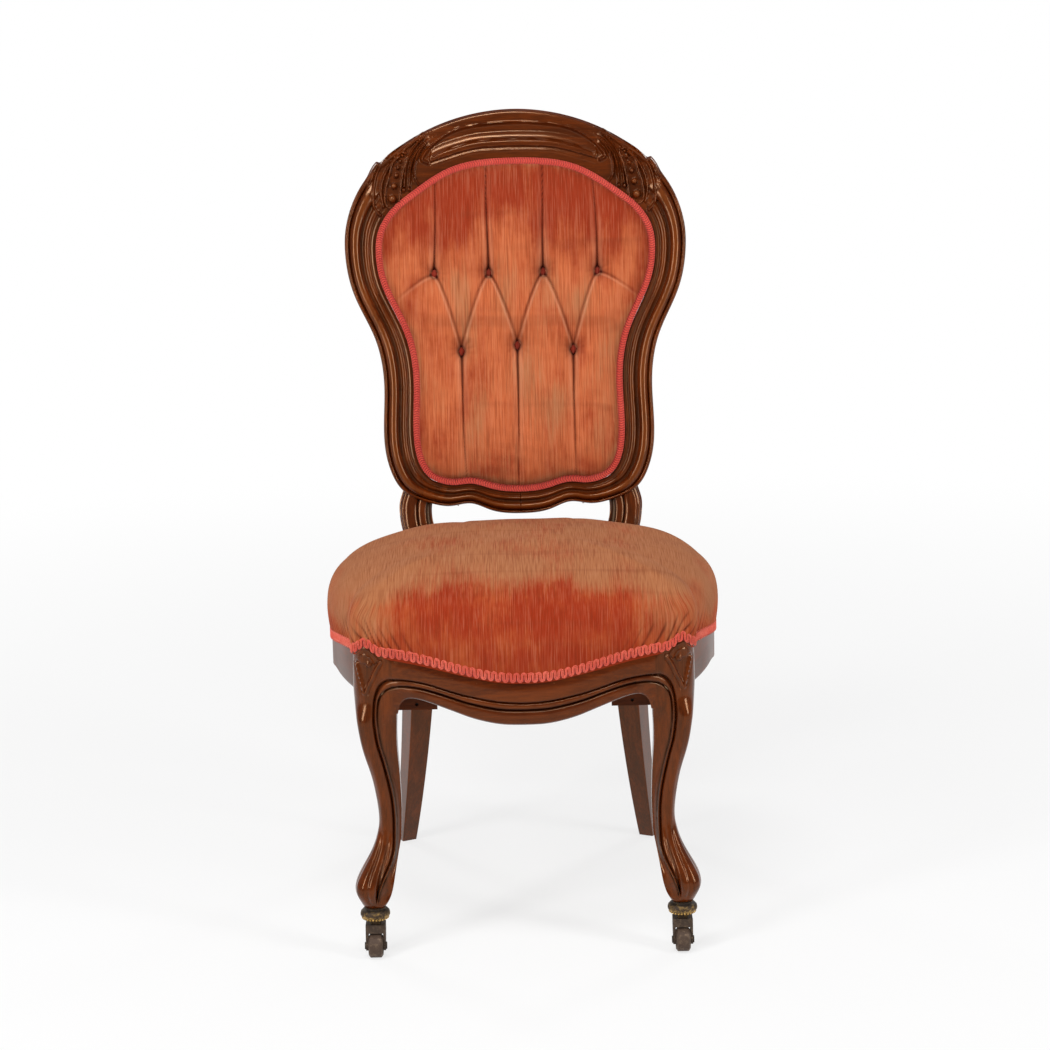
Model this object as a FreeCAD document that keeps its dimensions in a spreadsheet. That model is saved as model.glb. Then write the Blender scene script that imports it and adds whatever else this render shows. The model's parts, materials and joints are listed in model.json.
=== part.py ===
import FreeCAD
import Part
import Sketcher

import math
import os

# Upholstered balloon back side chair. Millimetres. X is the sitter's left to right as seen from
# the front, Y runs from the front of the seat to the back, Z is up and the floor is Z = 0.

V = FreeCAD.Vector
doc = FreeCAD.newDocument("balloon_back_chair")

# Driving sizes.
SIZES = (
    ("back_rake", 12),
    ("back_base_y", 126),
    ("back_base_z", 471),
    ("frame_depth", 28),
    ("cloth_play", 0.5),
    ("gimp_width", 10.5),
    ("gimp_depth", 2.6),
    ("tuft_depth", 0.72),
    ("back_crown", 27),
    ("button_radius", 7),
    ("button_height", 5),
    ("dowel_radius", 4.5),
    ("dowel_length", 44),
    ("dowel_play", 0.05),
    ("seat_front_y", -259),
    ("rail_end_y", -235.6),
    ("leg_inner_x", 152),
    ("leg_outer_x", 203),
    ("leg_back_y", -185),
    ("rail_back_y", -209.6),
    ("knee_corner_y", -220),
    ("knee_radius", 22),
    ("seat_half_width", 242),
    ("seat_widest_y", -4),
    ("side_rail_thickness", 25),
    ("side_rail_bottom", 302),
    ("rear_rail_height", 44),
    ("rear_rail_width", 262),
    ("rear_rail_thickness", 24),
    ("rear_rail_y", 134),
    ("rear_rail_z", 324),
    ("seat_line_low", 341),
    ("seat_crown", 487),
    ("seat_shoulder", 424),
    ("seat_cavity_top", 403),
    ("webbing_level", 326),
    ("webbing_thickness", 1.5),
    ("webbing_width", 50),
    ("ledge_width", 12),
    ("ledge_height", 14),
    ("canvas_thickness", 1.2),
    ("spring_radius", 36),
    ("spring_wire", 1.75),
    ("rear_foot_x", 167),
    ("rear_foot_y", 219),
    ("rear_foot_side", 19),
    ("rear_post_x", 139),
    ("rear_post_y", 126),
    ("rear_post_side", 30),
    ("rear_leg_turn", 20),
    ("screw_head_radius", 4),
    ("screw_head_height", 2.6),
    ("screw_radius", 2),
    ("screw_length", 34),
    ("caster_x", 186),
    ("caster_y", -217),
    ("leg_foot_z", 63),
    ("shank_radius", 4),
    ("shank_top", 94),
    ("ring_top_radius", 13),
    ("ring_radius", 18),
    ("ring_widest_top", 57),
    ("ring_widest_bottom", 51.5),
    ("ring_bottom_radius", 8.5),
    ("ring_bottom", 43.2),
    ("neck_radius", 6.2),
    ("neck_bottom", 40.6),
    ("pintle_radius", 3.5),
    ("head_top", 30.3),
    ("head_radius", 4.8),
    ("head_bottom", 29.2),
    ("fork_half_width", 12),
    ("fork_slot", 18),
    ("crown_top", 40.4),
    ("crown_bottom", 30.5),
    ("crown_half_depth", 9),
    ("trail", 8),
    ("pintle_bore", 3.56),
    ("axle_height", 14.5),
    ("axle_boss", 6),
    ("axle_radius", 3),
    ("axle_half_length", 13.4),
    ("axle_head_radius", 4.4),
    ("wheel_radius", 14.5),
    ("wheel_half_width", 8.7),
    ("wheel_hub_half_width", 8.7),
    ("wheel_rim_inner", 11.5),
    ("wheel_web_half_width", 6),
    ("wheel_hub_radius", 6),
    ("wheel_tread_half", 6.6),
    ("wheel_bore", 3.05),
)

sheet = doc.addObject("Spreadsheet::Sheet", "sizes")
for row, (alias, value) in enumerate(SIZES, start=1):
    sheet.set("A%d" % row, alias)
    sheet.set("B%d" % row, str(value))
    sheet.setAlias("B%d" % row, alias)
doc.recompute()


def size(alias):
    """One driving size, read from the sheet."""
    return float(sheet.get(alias))


def cell(alias):
    """The expression that names one driving size."""
    return "sizes." + alias


# Small helpers.
def smooth(value, low, high):
    """An S-shaped rise from 0 at low to 1 at high."""
    u = min(1.0, max(0.0, (value - low) / (high - low)))
    return u * u * (3.0 - 2.0 * u)


def arc_edge(start, middle, end):
    """A circular edge through three points."""
    return Part.Arc(start, middle, end).toShape()


def line_edge(start, end):
    """A straight edge."""
    return Part.LineSegment(start, end).toShape()


def filleted_outline(corners, radii, level):
    """A closed level outline through corners (x, y), each rounded by its own radius."""
    pts = [V(x, y, level) for x, y in corners]
    count = len(pts)
    cuts = []
    for i in range(count):
        here = pts[i]
        before = (pts[i - 1] - here).normalize()
        after = (pts[(i + 1) % count] - here).normalize()
        half = before.getAngle(after) / 2.0
        run = radii[i] / math.tan(half)
        middle = (before + after).normalize()
        reach = radii[i] / math.sin(half) - radii[i]
        cuts.append((here + before * run, here + middle * reach, here + after * run))
    edges = []
    for i in range(count):
        start, middle, end = cuts[i]
        edges.append(arc_edge(start, middle, end))
        edges.append(line_edge(end, cuts[(i + 1) % count][0]))
    return Part.Wire(edges)


def turned_square(cx, cy, half_x, half_y, turn, radius, level):
    """A level rounded rectangle, turned about the vertical by a number of degrees."""
    a = math.radians(turn)
    corners = []
    for sx, sy in ((-1, -1), (1, -1), (1, 1), (-1, 1)):
        u = sx * half_x
        v = sy * half_y
        corners.append((cx + u * math.cos(a) - v * math.sin(a), cy + u * math.sin(a) + v * math.cos(a)))
    return filleted_outline(corners, (radius,) * 4, level)


def solid_of(shape):
    """The one solid of a boolean result, without leftover splitting edges."""
    solids = sorted(shape.Solids, key=lambda s: s.Volume)
    return solids[-1]


def mirrored(shape):
    """The same shape on the other side of the chair."""
    return shape.mirror(V(0, 0, 0), V(1, 0, 0))


def add_feature(label, shape, placement=None):
    """A document object that holds a shape made from the sheet's sizes."""
    feature = doc.addObject("Part::Feature", label)
    feature.Label = label
    feature.Shape = shape
    if placement is not None:
        feature.Placement = placement
    return feature


def dowel_between(centre, direction, radius, length):
    """A round dowel centred on a joint."""
    way = V(direction).normalize()
    return Part.makeCylinder(radius, length, centre - way * (length / 2.0), way)


def add_profile(sketch, vertices):
    """A closed straight-sided profile whose every vertex is bound to the sheet.

    Each vertex is a pair of aliases, or 0 for a vertex that lies on an axis.
    """

    def amount(term):
        return 0.0 if term == 0 else size(term)

    pts = [V(amount(a), amount(b), 0) for a, b in vertices]
    count = len(pts)
    for i in range(count):
        sketch.addGeometry(Part.LineSegment(pts[i], pts[(i + 1) % count]), False)
    for i in range(count):
        sketch.addConstraint(Sketcher.Constraint("Coincident", i, 2, (i + 1) % count, 1))
    for i, (a, b) in enumerate(vertices):
        if a == 0:
            sketch.addConstraint(Sketcher.Constraint("PointOnObject", i, 1, -2))
        else:
            index = sketch.addConstraint(Sketcher.Constraint("DistanceX", -1, 1, i, 1, size(a)))
            sketch.setExpression("Constraints[%d]" % index, cell(a))
        if b == 0:
            sketch.addConstraint(Sketcher.Constraint("PointOnObject", i, 1, -1))
        else:
            index = sketch.addConstraint(Sketcher.Constraint("DistanceY", -1, 1, i, 1, size(b)))
            sketch.setExpression("Constraints[%d]" % index, cell(b))


def origin_plane(body, role):
    """One of a body's own origin planes, by its role name."""
    for item in body.Origin.OriginFeatures:
        if getattr(item, "Role", "") == role:
            return item
    return None


def new_sketch(body, name, role):
    """A sketch on one of a body's origin planes."""
    sketch = body.newObject("Sketcher::SketchObject", name)
    sketch.AttachmentSupport = [(origin_plane(body, role), "")]
    sketch.MapMode = "FlatFace"
    return sketch


# Back frame.
# The balloon lies in a plane that leans back. In that plane x runs across, z runs up the slope
# and y is the depth behind the front face. Each row pairs an outer point with an inner point.
RING = (
    ((0, 532), (0, 468)),
    ((90, 516), (84, 456.5)),
    ((150, 485), (133, 427)),
    ((186, 454), (160, 405.5)),
    ((208, 422), (174.5, 386)),
    ((222, 378), (182, 364)),
    ((223, 345), (183, 345)),
    ((214, 297), (177, 307)),
    ((186, 234), (148, 241)),
    ((175.5, 175), (137, 180)),
    ((177, 110), (138.5, 112)),
    ((169, 61), (131, 68)),
    ((152, 33.5), (119, 51.5)),
    ((119, 18), (102, 43)),
    ((92, 13.5), (84, 40.6)),
    ((67, 16.5), (64, 42)),
    ((40, 7.5), (38, 35)),
    ((0, 2.3), (0, 30.4)),
)
RING_END = len(RING) - 1
CREST_JOINT = 3.6
FOOT_JOINT = 13.5

back_place = FreeCAD.Placement(
    V(0, size("back_base_y"), size("back_base_z")),
    FreeCAD.Rotation(V(1, 0, 0), -size("back_rake")),
)


def ring_knots():
    """Running length along the middle of the member, at each row of the ring."""
    knots = [0.0]
    for before, after in zip(RING, RING[1:]):
        outer = math.hypot(after[0][0] - before[0][0], after[0][1] - before[0][1])
        inner = math.hypot(after[1][0] - before[1][0], after[1][1] - before[1][1])
        knots.append(knots[-1] + (outer + inner) / 2.0)
    return knots


KNOTS = ring_knots()


def knot_at(place):
    """The running length at a place between two rows."""
    row = min(int(place), RING_END - 1)
    return KNOTS[row] + (place - row) * (KNOTS[row + 1] - KNOTS[row])


def half_curve(points, knots):
    """A smooth half outline from the top centre to the bottom centre, level at both ends."""
    curve = Part.BSplineCurve()
    curve.interpolate(
        Points=points,
        Parameters=knots,
        InitialTangent=V(1, 0, 0),
        FinalTangent=V(-1, 0, 0),
        Scale=False,
    )
    return curve


outer_half = half_curve([V(row[0][0], 0, row[0][1]) for row in RING], KNOTS)
inner_half = half_curve([V(row[1][0], 0, row[1][1]) for row in RING], KNOTS)


def ring_station(place):
    """Outer and inner points at a place along the ring; negative places are on the left."""
    side = 1.0 if place >= 0 else -1.0
    outer = outer_half.value(knot_at(abs(place)))
    inner = inner_half.value(knot_at(abs(place)))
    return V(side * outer.x, 0, outer.z), V(side * inner.x, 0, inner.z)


def moulded_section(place):
    """The frame's cross-section: outer roll, main ridge, second ridge, inner fillet, flat back."""
    outer, inner = ring_station(place)
    across = inner - outer
    back = size("frame_depth")

    def at(share, depth):
        point = outer + across * share
        return V(point.x, depth, point.z)

    edges = [
        line_edge(at(0, back), at(0, 5)),
        arc_edge(at(0, 5), at(0.06, 1.6), at(0.125, 4.6)),
        line_edge(at(0.125, 4.6), at(0.16, 6)),
        arc_edge(at(0.16, 6), at(0.335, -2.6), at(0.51, 6)),
        line_edge(at(0.51, 6), at(0.58, 7.2)),
        arc_edge(at(0.58, 7.2), at(0.695, 2.2), at(0.81, 7)),
        line_edge(at(0.81, 7), at(0.86, 8)),
        line_edge(at(0.86, 8), at(1, 6.6)),
        line_edge(at(1, 6.6), at(1, back)),
        line_edge(at(1, back), at(0, back)),
    ]
    return Part.Wire(edges)


def ring_member(start, end, count):
    """One member of the ring, lofted through sections between two places."""
    step = (end - start) / (count - 1.0)
    return Part.makeLoft([moulded_section(start + i * step) for i in range(count)], True, False)


def ring_dowel(place, radius):
    """A dowel across the joint at a place of the ring."""
    outer, inner = ring_station(place)
    across = inner - outer
    centre = outer + across * 0.45
    centre.y = 17
    along = V(across.z, 0, -across.x)
    return dowel_between(centre, along, radius, size("dowel_length"))


crest = ring_member(-CREST_JOINT, CREST_JOINT, 15)
stile = ring_member(CREST_JOINT, FOOT_JOINT, 15)
# The bottom rail runs on one side to the centre and then back up the other.
bottom_sections = []
for i in range(6):
    bottom_sections.append(moulded_section(FOOT_JOINT + (RING_END - FOOT_JOINT) * i / 5.0))
for i in range(4, -1, -1):
    bottom_sections.append(moulded_section(-(FOOT_JOINT + (RING_END - FOOT_JOINT) * i / 5.0)))
bottom_rail = Part.makeLoft(bottom_sections, True, False)

dowel_r = size("dowel_radius")
dowel_hole = dowel_r + size("dowel_play")

STUMP_DOWEL_X = 146
STUMP_DOWEL_DEPTH = 16


def stump_dowel(radius):
    """The upright dowel from the top of the rear leg into the balloon, in the back's plane."""
    return Part.makeCylinder(radius, 46, V(STUMP_DOWEL_X, STUMP_DOWEL_DEPTH, 8), V(0, 0, 1))


crest_holes = [ring_dowel(CREST_JOINT, dowel_hole), ring_dowel(-CREST_JOINT, dowel_hole)]
crest = solid_of(crest.cut(Part.makeCompound(crest_holes)))
stile_holes = [ring_dowel(CREST_JOINT, dowel_hole), ring_dowel(FOOT_JOINT, dowel_hole)]
stile_holes.append(stump_dowel(dowel_hole))
stile = solid_of(stile.cut(Part.makeCompound(stile_holes)))
foot_holes = [ring_dowel(FOOT_JOINT, dowel_hole), ring_dowel(-FOOT_JOINT, dowel_hole)]
bottom_rail = solid_of(bottom_rail.cut(Part.makeCompound(foot_holes)))

add_feature("crest_rail", crest, back_place)
add_feature("right_back_stile", stile, back_place)
add_feature("left_back_stile", mirrored(stile), back_place)
add_feature("back_bottom_rail", bottom_rail, back_place)

back_dowels = []
for place in (CREST_JOINT, FOOT_JOINT):
    back_dowels.append(ring_dowel(place, dowel_r))
    back_dowels.append(ring_dowel(-place, dowel_r))
back_dowels.append(stump_dowel(dowel_r))
back_dowels.append(mirrored(stump_dowel(dowel_r)))
add_feature("back_dowels", Part.makeCompound(back_dowels), back_place)


# Back upholstery.
def ring_wire(inset, depth):
    """The balloon's inner outline at a depth, drawn in by an inset."""
    samples = []
    knots = []
    for i in range(RING_END * 2 + 1):
        knot = knot_at(i / 2.0)
        here = inner_half.value(knot)
        slope = inner_half.tangent(knot)[0]
        samples.append(V(here.x + slope.z * inset, depth, here.z - slope.x * inset))
        knots.append(knot)
    samples[0].x = 0.0
    samples[-1].x = 0.0
    right_edge = half_curve(samples, knots).toShape()
    left_edge = right_edge.mirror(V(0, 0, 0), V(1, 0, 0))
    return Part.Wire([right_edge, left_edge])


def ring_face(inset, depth):
    """The flat region inside the drawn-in outline."""
    return Part.Face(ring_wire(inset, depth))


def braid_face(inset, depth):
    """The flat band that the back's braid covers, along the wood's inner edge."""
    wires = [ring_wire(inset, depth), ring_wire(size("gimp_width"), depth)]
    return Part.makeFace(wires, "Part::FaceMakerBullseye")


BUTTONS = ((-106.7, 317), (-35.6, 317), (35.6, 317), (106.7, 317), (-73, 215.5), (0, 222), (73, 215.5))
PLEATS = (
    (-106.7, 317, -106.7, 440),
    (-35.6, 317, -35.6, 470),
    (35.6, 317, 35.6, 470),
    (106.7, 317, 106.7, 440),
    (-106.7, 317, -175, 262),
    (106.7, 317, 175, 262),
    (-106.7, 317, -73, 215.5),
    (-35.6, 317, -73, 215.5),
    (-35.6, 317, 0, 222),
    (35.6, 317, 0, 222),
    (35.6, 317, 73, 215.5),
    (106.7, 317, 73, 215.5),
    (-73, 215.5, -73, 30),
    (0, 222, 0, 20),
    (73, 215.5, 73, 30),
)


def pleat_distance(x, w, pleat):
    """Distance from a point of the panel to a fold line."""
    x0, w0, x1, w1 = pleat
    dx = x1 - x0
    dw = w1 - w0
    u = ((x - x0) * dx + (w - w0) * dw) / (dx * dx + dw * dw)
    u = min(1.0, max(0.0, u))
    return math.hypot(x - x0 - u * dx, w - w0 - u * dw)


def panel_half_width(w):
    """Half the panel's width at a height, from the inner outline."""
    best = 30.0
    for i in range(RING_END * 4 + 1):
        point = inner_half.value(knot_at(i / 4.0))
        if abs(point.z - w) < 9:
            best = max(best, point.x)
    return best


def panel_height(x, w, half_width):
    """How far the padded panel stands in front of the frame's face plane."""
    across = min(1.2, abs(x) / half_width)
    upward = min(1.2, abs(w - 250.0) / 222.0)
    reach = (across ** 4 + upward ** 4) ** 0.25
    crown = size("back_crown") * (1.0 - min(1.25, reach) ** 3.2)
    for bx, bw in BUTTONS:
        gap = math.hypot(x - bx, w - bw)
        crown *= 1.0 - size("tuft_depth") * math.exp(-((gap / 15.0) ** 2))
    fold = 0.0
    for pleat in PLEATS:
        fold = max(fold, math.exp(-((pleat_distance(x, w, pleat) / 6.5) ** 2)))
    return crown * (1.0 - 0.3 * fold) - 3.0


grid = []
for i in range(49):
    x = -204.0 + 8.5 * i
    column = []
    for j in range(63):
        w = -10.0 + 8.0 * j
        column.append(V(x, -panel_height(x, w, panel_half_width(w)), w))
    grid.append(column)
panel_surface = Part.BSplineSurface()
panel_surface.interpolate(grid)
panel_front = panel_surface.toShape().extrude(V(0, 70, 0))

panel_prism = ring_face(size("cloth_play"), -60.0).extrude(V(0, 76, 0))
back_pad = panel_prism.common(panel_front)
gimp_base = 5.0
gimp_zone = braid_face(0.0, -60.0).extrude(V(0, 60.0 + gimp_base, 0))
back_pad = back_pad.cut(gimp_zone)
gimp_depth = size("gimp_depth")
back_gimp = solid_of(braid_face(0.0, gimp_base - gimp_depth).extrude(V(0, gimp_depth, 0)))

buttons = []
button_seats = []
for bx, bw in BUTTONS:
    level = -panel_height(bx, bw, panel_half_width(bw)) + 1.0
    radius = size("button_radius")
    height = size("button_height")
    disc = Part.makeCylinder(radius, height * 0.45, V(bx, level, bw), V(0, -1, 0))
    ball_radius = (radius * radius + (height * 0.55) ** 2) / (2.0 * height * 0.55)
    ball_centre = V(bx, level - height + ball_radius, bw)
    dome = Part.makeSphere(ball_radius, ball_centre)
    dome = dome.common(Part.makeCylinder(radius, height, V(bx, level - height * 0.45, bw), V(0, -1, 0)))
    buttons.append(disc.fuse(dome).removeSplitter())
    button_seats.append(Part.makeCylinder(radius + 0.3, 60, V(bx, level, bw), V(0, -1, 0)))
back_pad = solid_of(back_pad.cut(Part.makeCompound(button_seats)))

add_feature("back_pad", back_pad, back_place)
add_feature("back_gimp", back_gimp, back_place)
add_feature("back_buttons", Part.makeCompound(buttons), back_place)

# Behind the padding: jute straps, then the outside back cover and its braid.
straps = []
inside = ring_face(0.0, 16.0).extrude(V(0, 1.5, 0))
for centre_x in (-84, 0, 84):
    strap = Part.makeBox(50, 1.5, 620, V(centre_x - 25, 16.0, -40))
    straps.append(solid_of(inside.common(strap)))
cross_inside = ring_face(0.0, 17.5).extrude(V(0, 1.5, 0))
for centre_w in (110, 220, 330):
    strap = Part.makeBox(500, 1.5, 50, V(-250, 17.5, centre_w - 25))
    straps.append(solid_of(cross_inside.common(strap)))
add_feature("back_webbing", Part.makeCompound(straps), back_place)
cover = ring_face(size("cloth_play"), 22.0).extrude(V(0, 3.0, 0))
add_feature("outside_back_cover", cover, back_place)
rear_braid = braid_face(size("cloth_play"), 25.0).extrude(V(0, 2.4, 0))
add_feature("outside_back_gimp", solid_of(rear_braid), back_place)

# The seat's plan and its lines.
bow_sag = size("rail_end_y") - size("seat_front_y")
bow_radius = (size("leg_inner_x") ** 2 + bow_sag ** 2) / (2.0 * bow_sag)


def bow_y(x):
    """The front rail's bowed face."""
    return size("seat_front_y") + bow_radius - math.sqrt(bow_radius ** 2 - x * x)


def seat_line(x, y):
    """Height of the line where velvet meets show wood."""
    front = 350.0 + 26.5 * smooth(abs(x), 8.0, 165.0) - size("seat_line_low")
    return size("seat_line_low") + front * smooth(-y, -80.0, 220.0)


def plane_grid(height, x0, x1, nx, y0, y1, ny):
    """A smooth surface over the seat's plan from a height formula."""
    rows = []
    for i in range(nx):
        x = x0 + (x1 - x0) * i / (nx - 1.0)
        rows.append([])
        for j in range(ny):
            y = y0 + (y1 - y0) * j / (ny - 1.0)
            rows[-1].append(V(x, y, height(x, y)))
    surface = Part.BSplineSurface()
    surface.interpolate(rows)
    return surface.toShape()


line_face = plane_grid(seat_line, -280, 280, 29, -300, 190, 25)
under_line = line_face.extrude(V(0, 0, -420))
over_line = line_face.extrude(V(0, 0, 200))

knee = ((size("leg_inner_x"), size("rail_end_y")), (size("leg_outer_x"), size("knee_corner_y")))
SIDE_FRONT = (204, -185)
SIDE_MID_FRONT = (230, -98)
SIDE_MID_REAR = (219, 84)
SIDE_REAR = (163, 127)
REAR_CORNER = (130, 146)


def seat_outline(level):
    """The seat's plan: bowed front, rounded knees, swelling sides, straight back."""
    inner = V(knee[0][0], knee[0][1], level)
    corner = V(knee[1][0], knee[1][1], level)
    side = V(SIDE_FRONT[0], SIDE_FRONT[1], level)
    back_way = (inner - corner).normalize()
    side_way = (side - corner).normalize()
    half = back_way.getAngle(side_way) / 2.0
    run = size("knee_radius") / math.tan(half)
    reach = size("knee_radius") / math.sin(half) - size("knee_radius")
    start = corner + back_way * run
    middle = corner + (back_way + side_way).normalize() * reach
    end = corner + side_way * run
    wide = V(size("seat_half_width"), size("seat_widest_y"), level)
    rear = V(SIDE_REAR[0], SIDE_REAR[1], level)
    rear_corner = V(REAR_CORNER[0], REAR_CORNER[1], level)

    def left(p):
        return V(-p.x, p.y, p.z)

    mid_front = V(SIDE_MID_FRONT[0], SIDE_MID_FRONT[1], level)
    mid_rear = V(SIDE_MID_REAR[0], SIDE_MID_REAR[1], level)
    edges = [
        arc_edge(left(inner), V(0, size("seat_front_y"), level), inner),
        line_edge(inner, start),
        arc_edge(start, middle, end),
        line_edge(end, side),
        arc_edge(side, mid_front, wide),
        arc_edge(wide, mid_rear, rear),
        line_edge(rear, rear_corner),
        line_edge(rear_corner, left(rear_corner)),
        line_edge(left(rear_corner), left(rear)),
        arc_edge(left(rear), left(mid_rear), left(wide)),
        arc_edge(left(wide), left(mid_front), left(side)),
        line_edge(left(side), left(end)),
        arc_edge(left(end), left(middle), left(start)),
        line_edge(left(start), left(inner)),
    ]
    return Part.Wire(edges)


def edge_normal(edge, place):
    """The outward direction of an outline's edge: 0 at its start, 1 at its end."""
    span = edge.LastParameter - edge.FirstParameter
    way = edge.tangentAt(edge.FirstParameter + span * place)
    return V(way.y, -way.x, 0)


def offset_outline(level, amount):
    """The seat's plan, swollen or drawn in edge by edge."""
    edges = seat_outline(level).OrderedEdges
    count = len(edges)
    corners = []
    for i in range(count):
        before = edge_normal(edges[i - 1], 1.0)
        after = edge_normal(edges[i], 0.0)
        mitre = (before + after) * (1.0 / (1.0 + before.dot(after)))
        corners.append(edges[i].valueAt(edges[i].FirstParameter) + mitre * amount)
    moved = []
    for i in range(count):
        start = corners[i]
        end = corners[(i + 1) % count]
        if isinstance(edges[i].Curve, Part.Circle):
            span = edges[i].LastParameter - edges[i].FirstParameter
            middle = edges[i].valueAt(edges[i].FirstParameter + span / 2.0)
            moved.append(arc_edge(start, middle + edge_normal(edges[i], 0.5) * amount, end))
        else:
            moved.append(line_edge(start, end))
    return Part.Wire(moved)


CAVITY = ((-146, -194), (146, -194), (204, -40), (196, 45), (118, 98), (-118, 98), (-196, 45), (-204, -40))


def cavity_face(level):
    """The plan of the hollow under the stuffing, well inside the rails."""
    return Part.Face(filleted_outline(CAVITY, (24, 24, 60, 40, 14, 14, 40, 60), level))


# Front legs.
# Outer and inner edges of the cabriole, by height: level, outer x, inner x, corner radius.
LEG = (
    (63, 198.0, 174.0, 9.0),
    (70, 203.0, 169.5, 12.5),
    (84, 208.8, 164.0, 16.0),
    (99, 205.6, 160.8, 16.0),
    (114, 197.0, 158.2, 14.5),
    (129, 188.3, 155.4, 12.0),
    (145, 182.4, 152.6, 10.5),
    (162, 179.3, 151.6, 9.5),
    (182, 179.8, 151.0, 9.5),
    (205, 182.6, 151.3, 10.0),
    (228, 187.0, 152.0, 10.5),
    (250, 192.6, 153.2, 11.0),
    (272, 197.0, 154.4, 12.0),
    (294, 200.0, 154.0, 13.0),
)
LEG_BLOCK_BOTTOM = 318.0


def leg_section(level, outer, inner, radius):
    """A level section of the cabriole: the knee and foot swell along the seat's diagonal."""
    shift = size("caster_x") + size("caster_y")
    front = -(outer - shift)
    back = -(inner - shift)
    corners = ((inner, front), (outer, front), (outer, back), (inner, back))
    return filleted_outline(corners, (radius * 0.8, radius, radius, radius * 0.8), level)


def block_section(level):
    """The joint block above the knee, with flat faces for the two seat rails."""
    back = size("leg_back_y")
    corners = (knee[0], knee[1], (size("leg_outer_x"), back), (size("leg_inner_x"), back))
    return filleted_outline(corners, (0.8, size("knee_radius"), 2.0, 2.0), level)


sections = [leg_section(*row) for row in LEG]
sections.append(block_section(LEG_BLOCK_BOTTOM))
front_leg = Part.makeLoft(sections, True, False)
block = Part.Face(block_section(LEG_BLOCK_BOTTOM)).extrude(V(0, 0, 392 - LEG_BLOCK_BOTTOM))
front_leg = front_leg.fuse(block)
front_leg = front_leg.common(under_line)
behind_block = Part.makeBox(100, 60, 110, V(140, size("leg_back_y"), 285))
front_leg = front_leg.cut(behind_block)
shank_bore = Part.makeCylinder(
    size("shank_radius") + size("dowel_play"),
    size("shank_top") + 1.0,
    V(size("caster_x"), size("caster_y"), 0),
)
front_leg = front_leg.cut(shank_bore)

# Rear legs.
foot_x = size("rear_foot_x")
foot_y = size("rear_foot_y")
post_x = size("rear_post_x")
post_y = size("rear_post_y")
post_bottom = 296.0
post_top = 352.0
rear_sections = []
for i in range(8):
    share = i / 7.0
    level = post_bottom * share
    spread = (1.0 - share) ** 1.45
    side = size("rear_foot_side") + (size("rear_post_side") - size("rear_foot_side")) * share ** 0.8
    rear_sections.append(
        turned_square(
            post_x + (foot_x - post_x) * spread,
            post_y + (foot_y - post_y) * spread,
            side / 2.0,
            side / 2.0,
            -size("rear_leg_turn"),
            1.6,
            level,
        )
    )
sabre = Part.makeLoft(rear_sections, True, False)
post_half = size("rear_post_side") / 2.0
post_outline = turned_square(post_x, post_y, post_half, post_half, -size("rear_leg_turn"), 1.6, post_bottom)
post = Part.Face(post_outline).extrude(V(0, 0, post_top - post_bottom))
# The stump above the seat: level, centre x, centre y, half width, half depth, turn, corner radius.
STUMP = (
    (352, 139.0, 126.0, 15.0, 15.0, -20.0, 1.6),
    (385, 135.5, 127.5, 17.5, 13.5, -12.0, 5.0),
    (420, 131.5, 131.5, 20.5, 12.0, -5.0, 7.0),
    (447, 133.0, 136.0, 21.4, 11.2, 0.0, 8.0),
    (462, 136.6, 139.5, 21.2, 11.0, 0.0, 8.0),
    (475, 138.0, 142.5, 21.2, 10.7, 0.0, 8.0),
    (487, 137.2, 145.0, 21.6, 10.5, 0.0, 8.0),
    (504, 131.5, 148.8, 22.2, 10.5, 0.0, 8.0),
    (520, 127.0, 152.0, 22.6, 10.5, 0.0, 8.0),
)
stump_sections = []
for level, cx, cy, half_x, half_y, turn, radius in STUMP:
    stump_sections.append(turned_square(cx, cy, half_x, half_y, turn, radius, level))
stump = Part.makeLoft(stump_sections, True, False)


def placed(shape, placement):
    """A copy of a shape moved into the chair's frame."""
    moved = shape.copy()
    moved.Placement = placement.multiply(moved.Placement)
    return moved


# Wood above the balloon's lower edge is taken off the stump, which then butts under the frame.
lower_edge = []
for i in range(13):
    point = outer_half.value(knot_at(11.0 + i / 4.0))
    lower_edge.append(V(point.x - 0.6, -60, point.z + 3.0))
edge_curve = Part.BSplineCurve()
edge_curve.interpolate(lower_edge)
first = lower_edge[0]
last = lower_edge[-1]
cap_wire = Part.Wire(
    [
        edge_curve.toShape(),
        line_edge(last, V(last.x - 60, -60, last.z)),
        line_edge(V(last.x - 60, -60, last.z), V(last.x - 60, -60, 200)),
        line_edge(V(last.x - 60, -60, 200), V(first.x + 60, -60, 200)),
        line_edge(V(first.x + 60, -60, 200), V(first.x + 60, -60, first.z)),
        line_edge(V(first.x + 60, -60, first.z), first),
    ]
)
cap = placed(Part.Face(cap_wire).extrude(V(0, 160, 0)), back_place)
world_stile = placed(stile, back_place)
rear_leg = sabre.fuse([post, stump]).cut(cap)
rear_leg = solid_of(rear_leg.cut(world_stile))
rear_leg = solid_of(rear_leg.cut(placed(stump_dowel(dowel_hole), back_place)))

# Seat rails.
RAIL_STATIONS = 13


def rail_bottom(x):
    """The serpentine lower edge of the front rail."""
    return 296.6 + 26.0 * smooth(abs(x), 15.0, 135.0)


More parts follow.
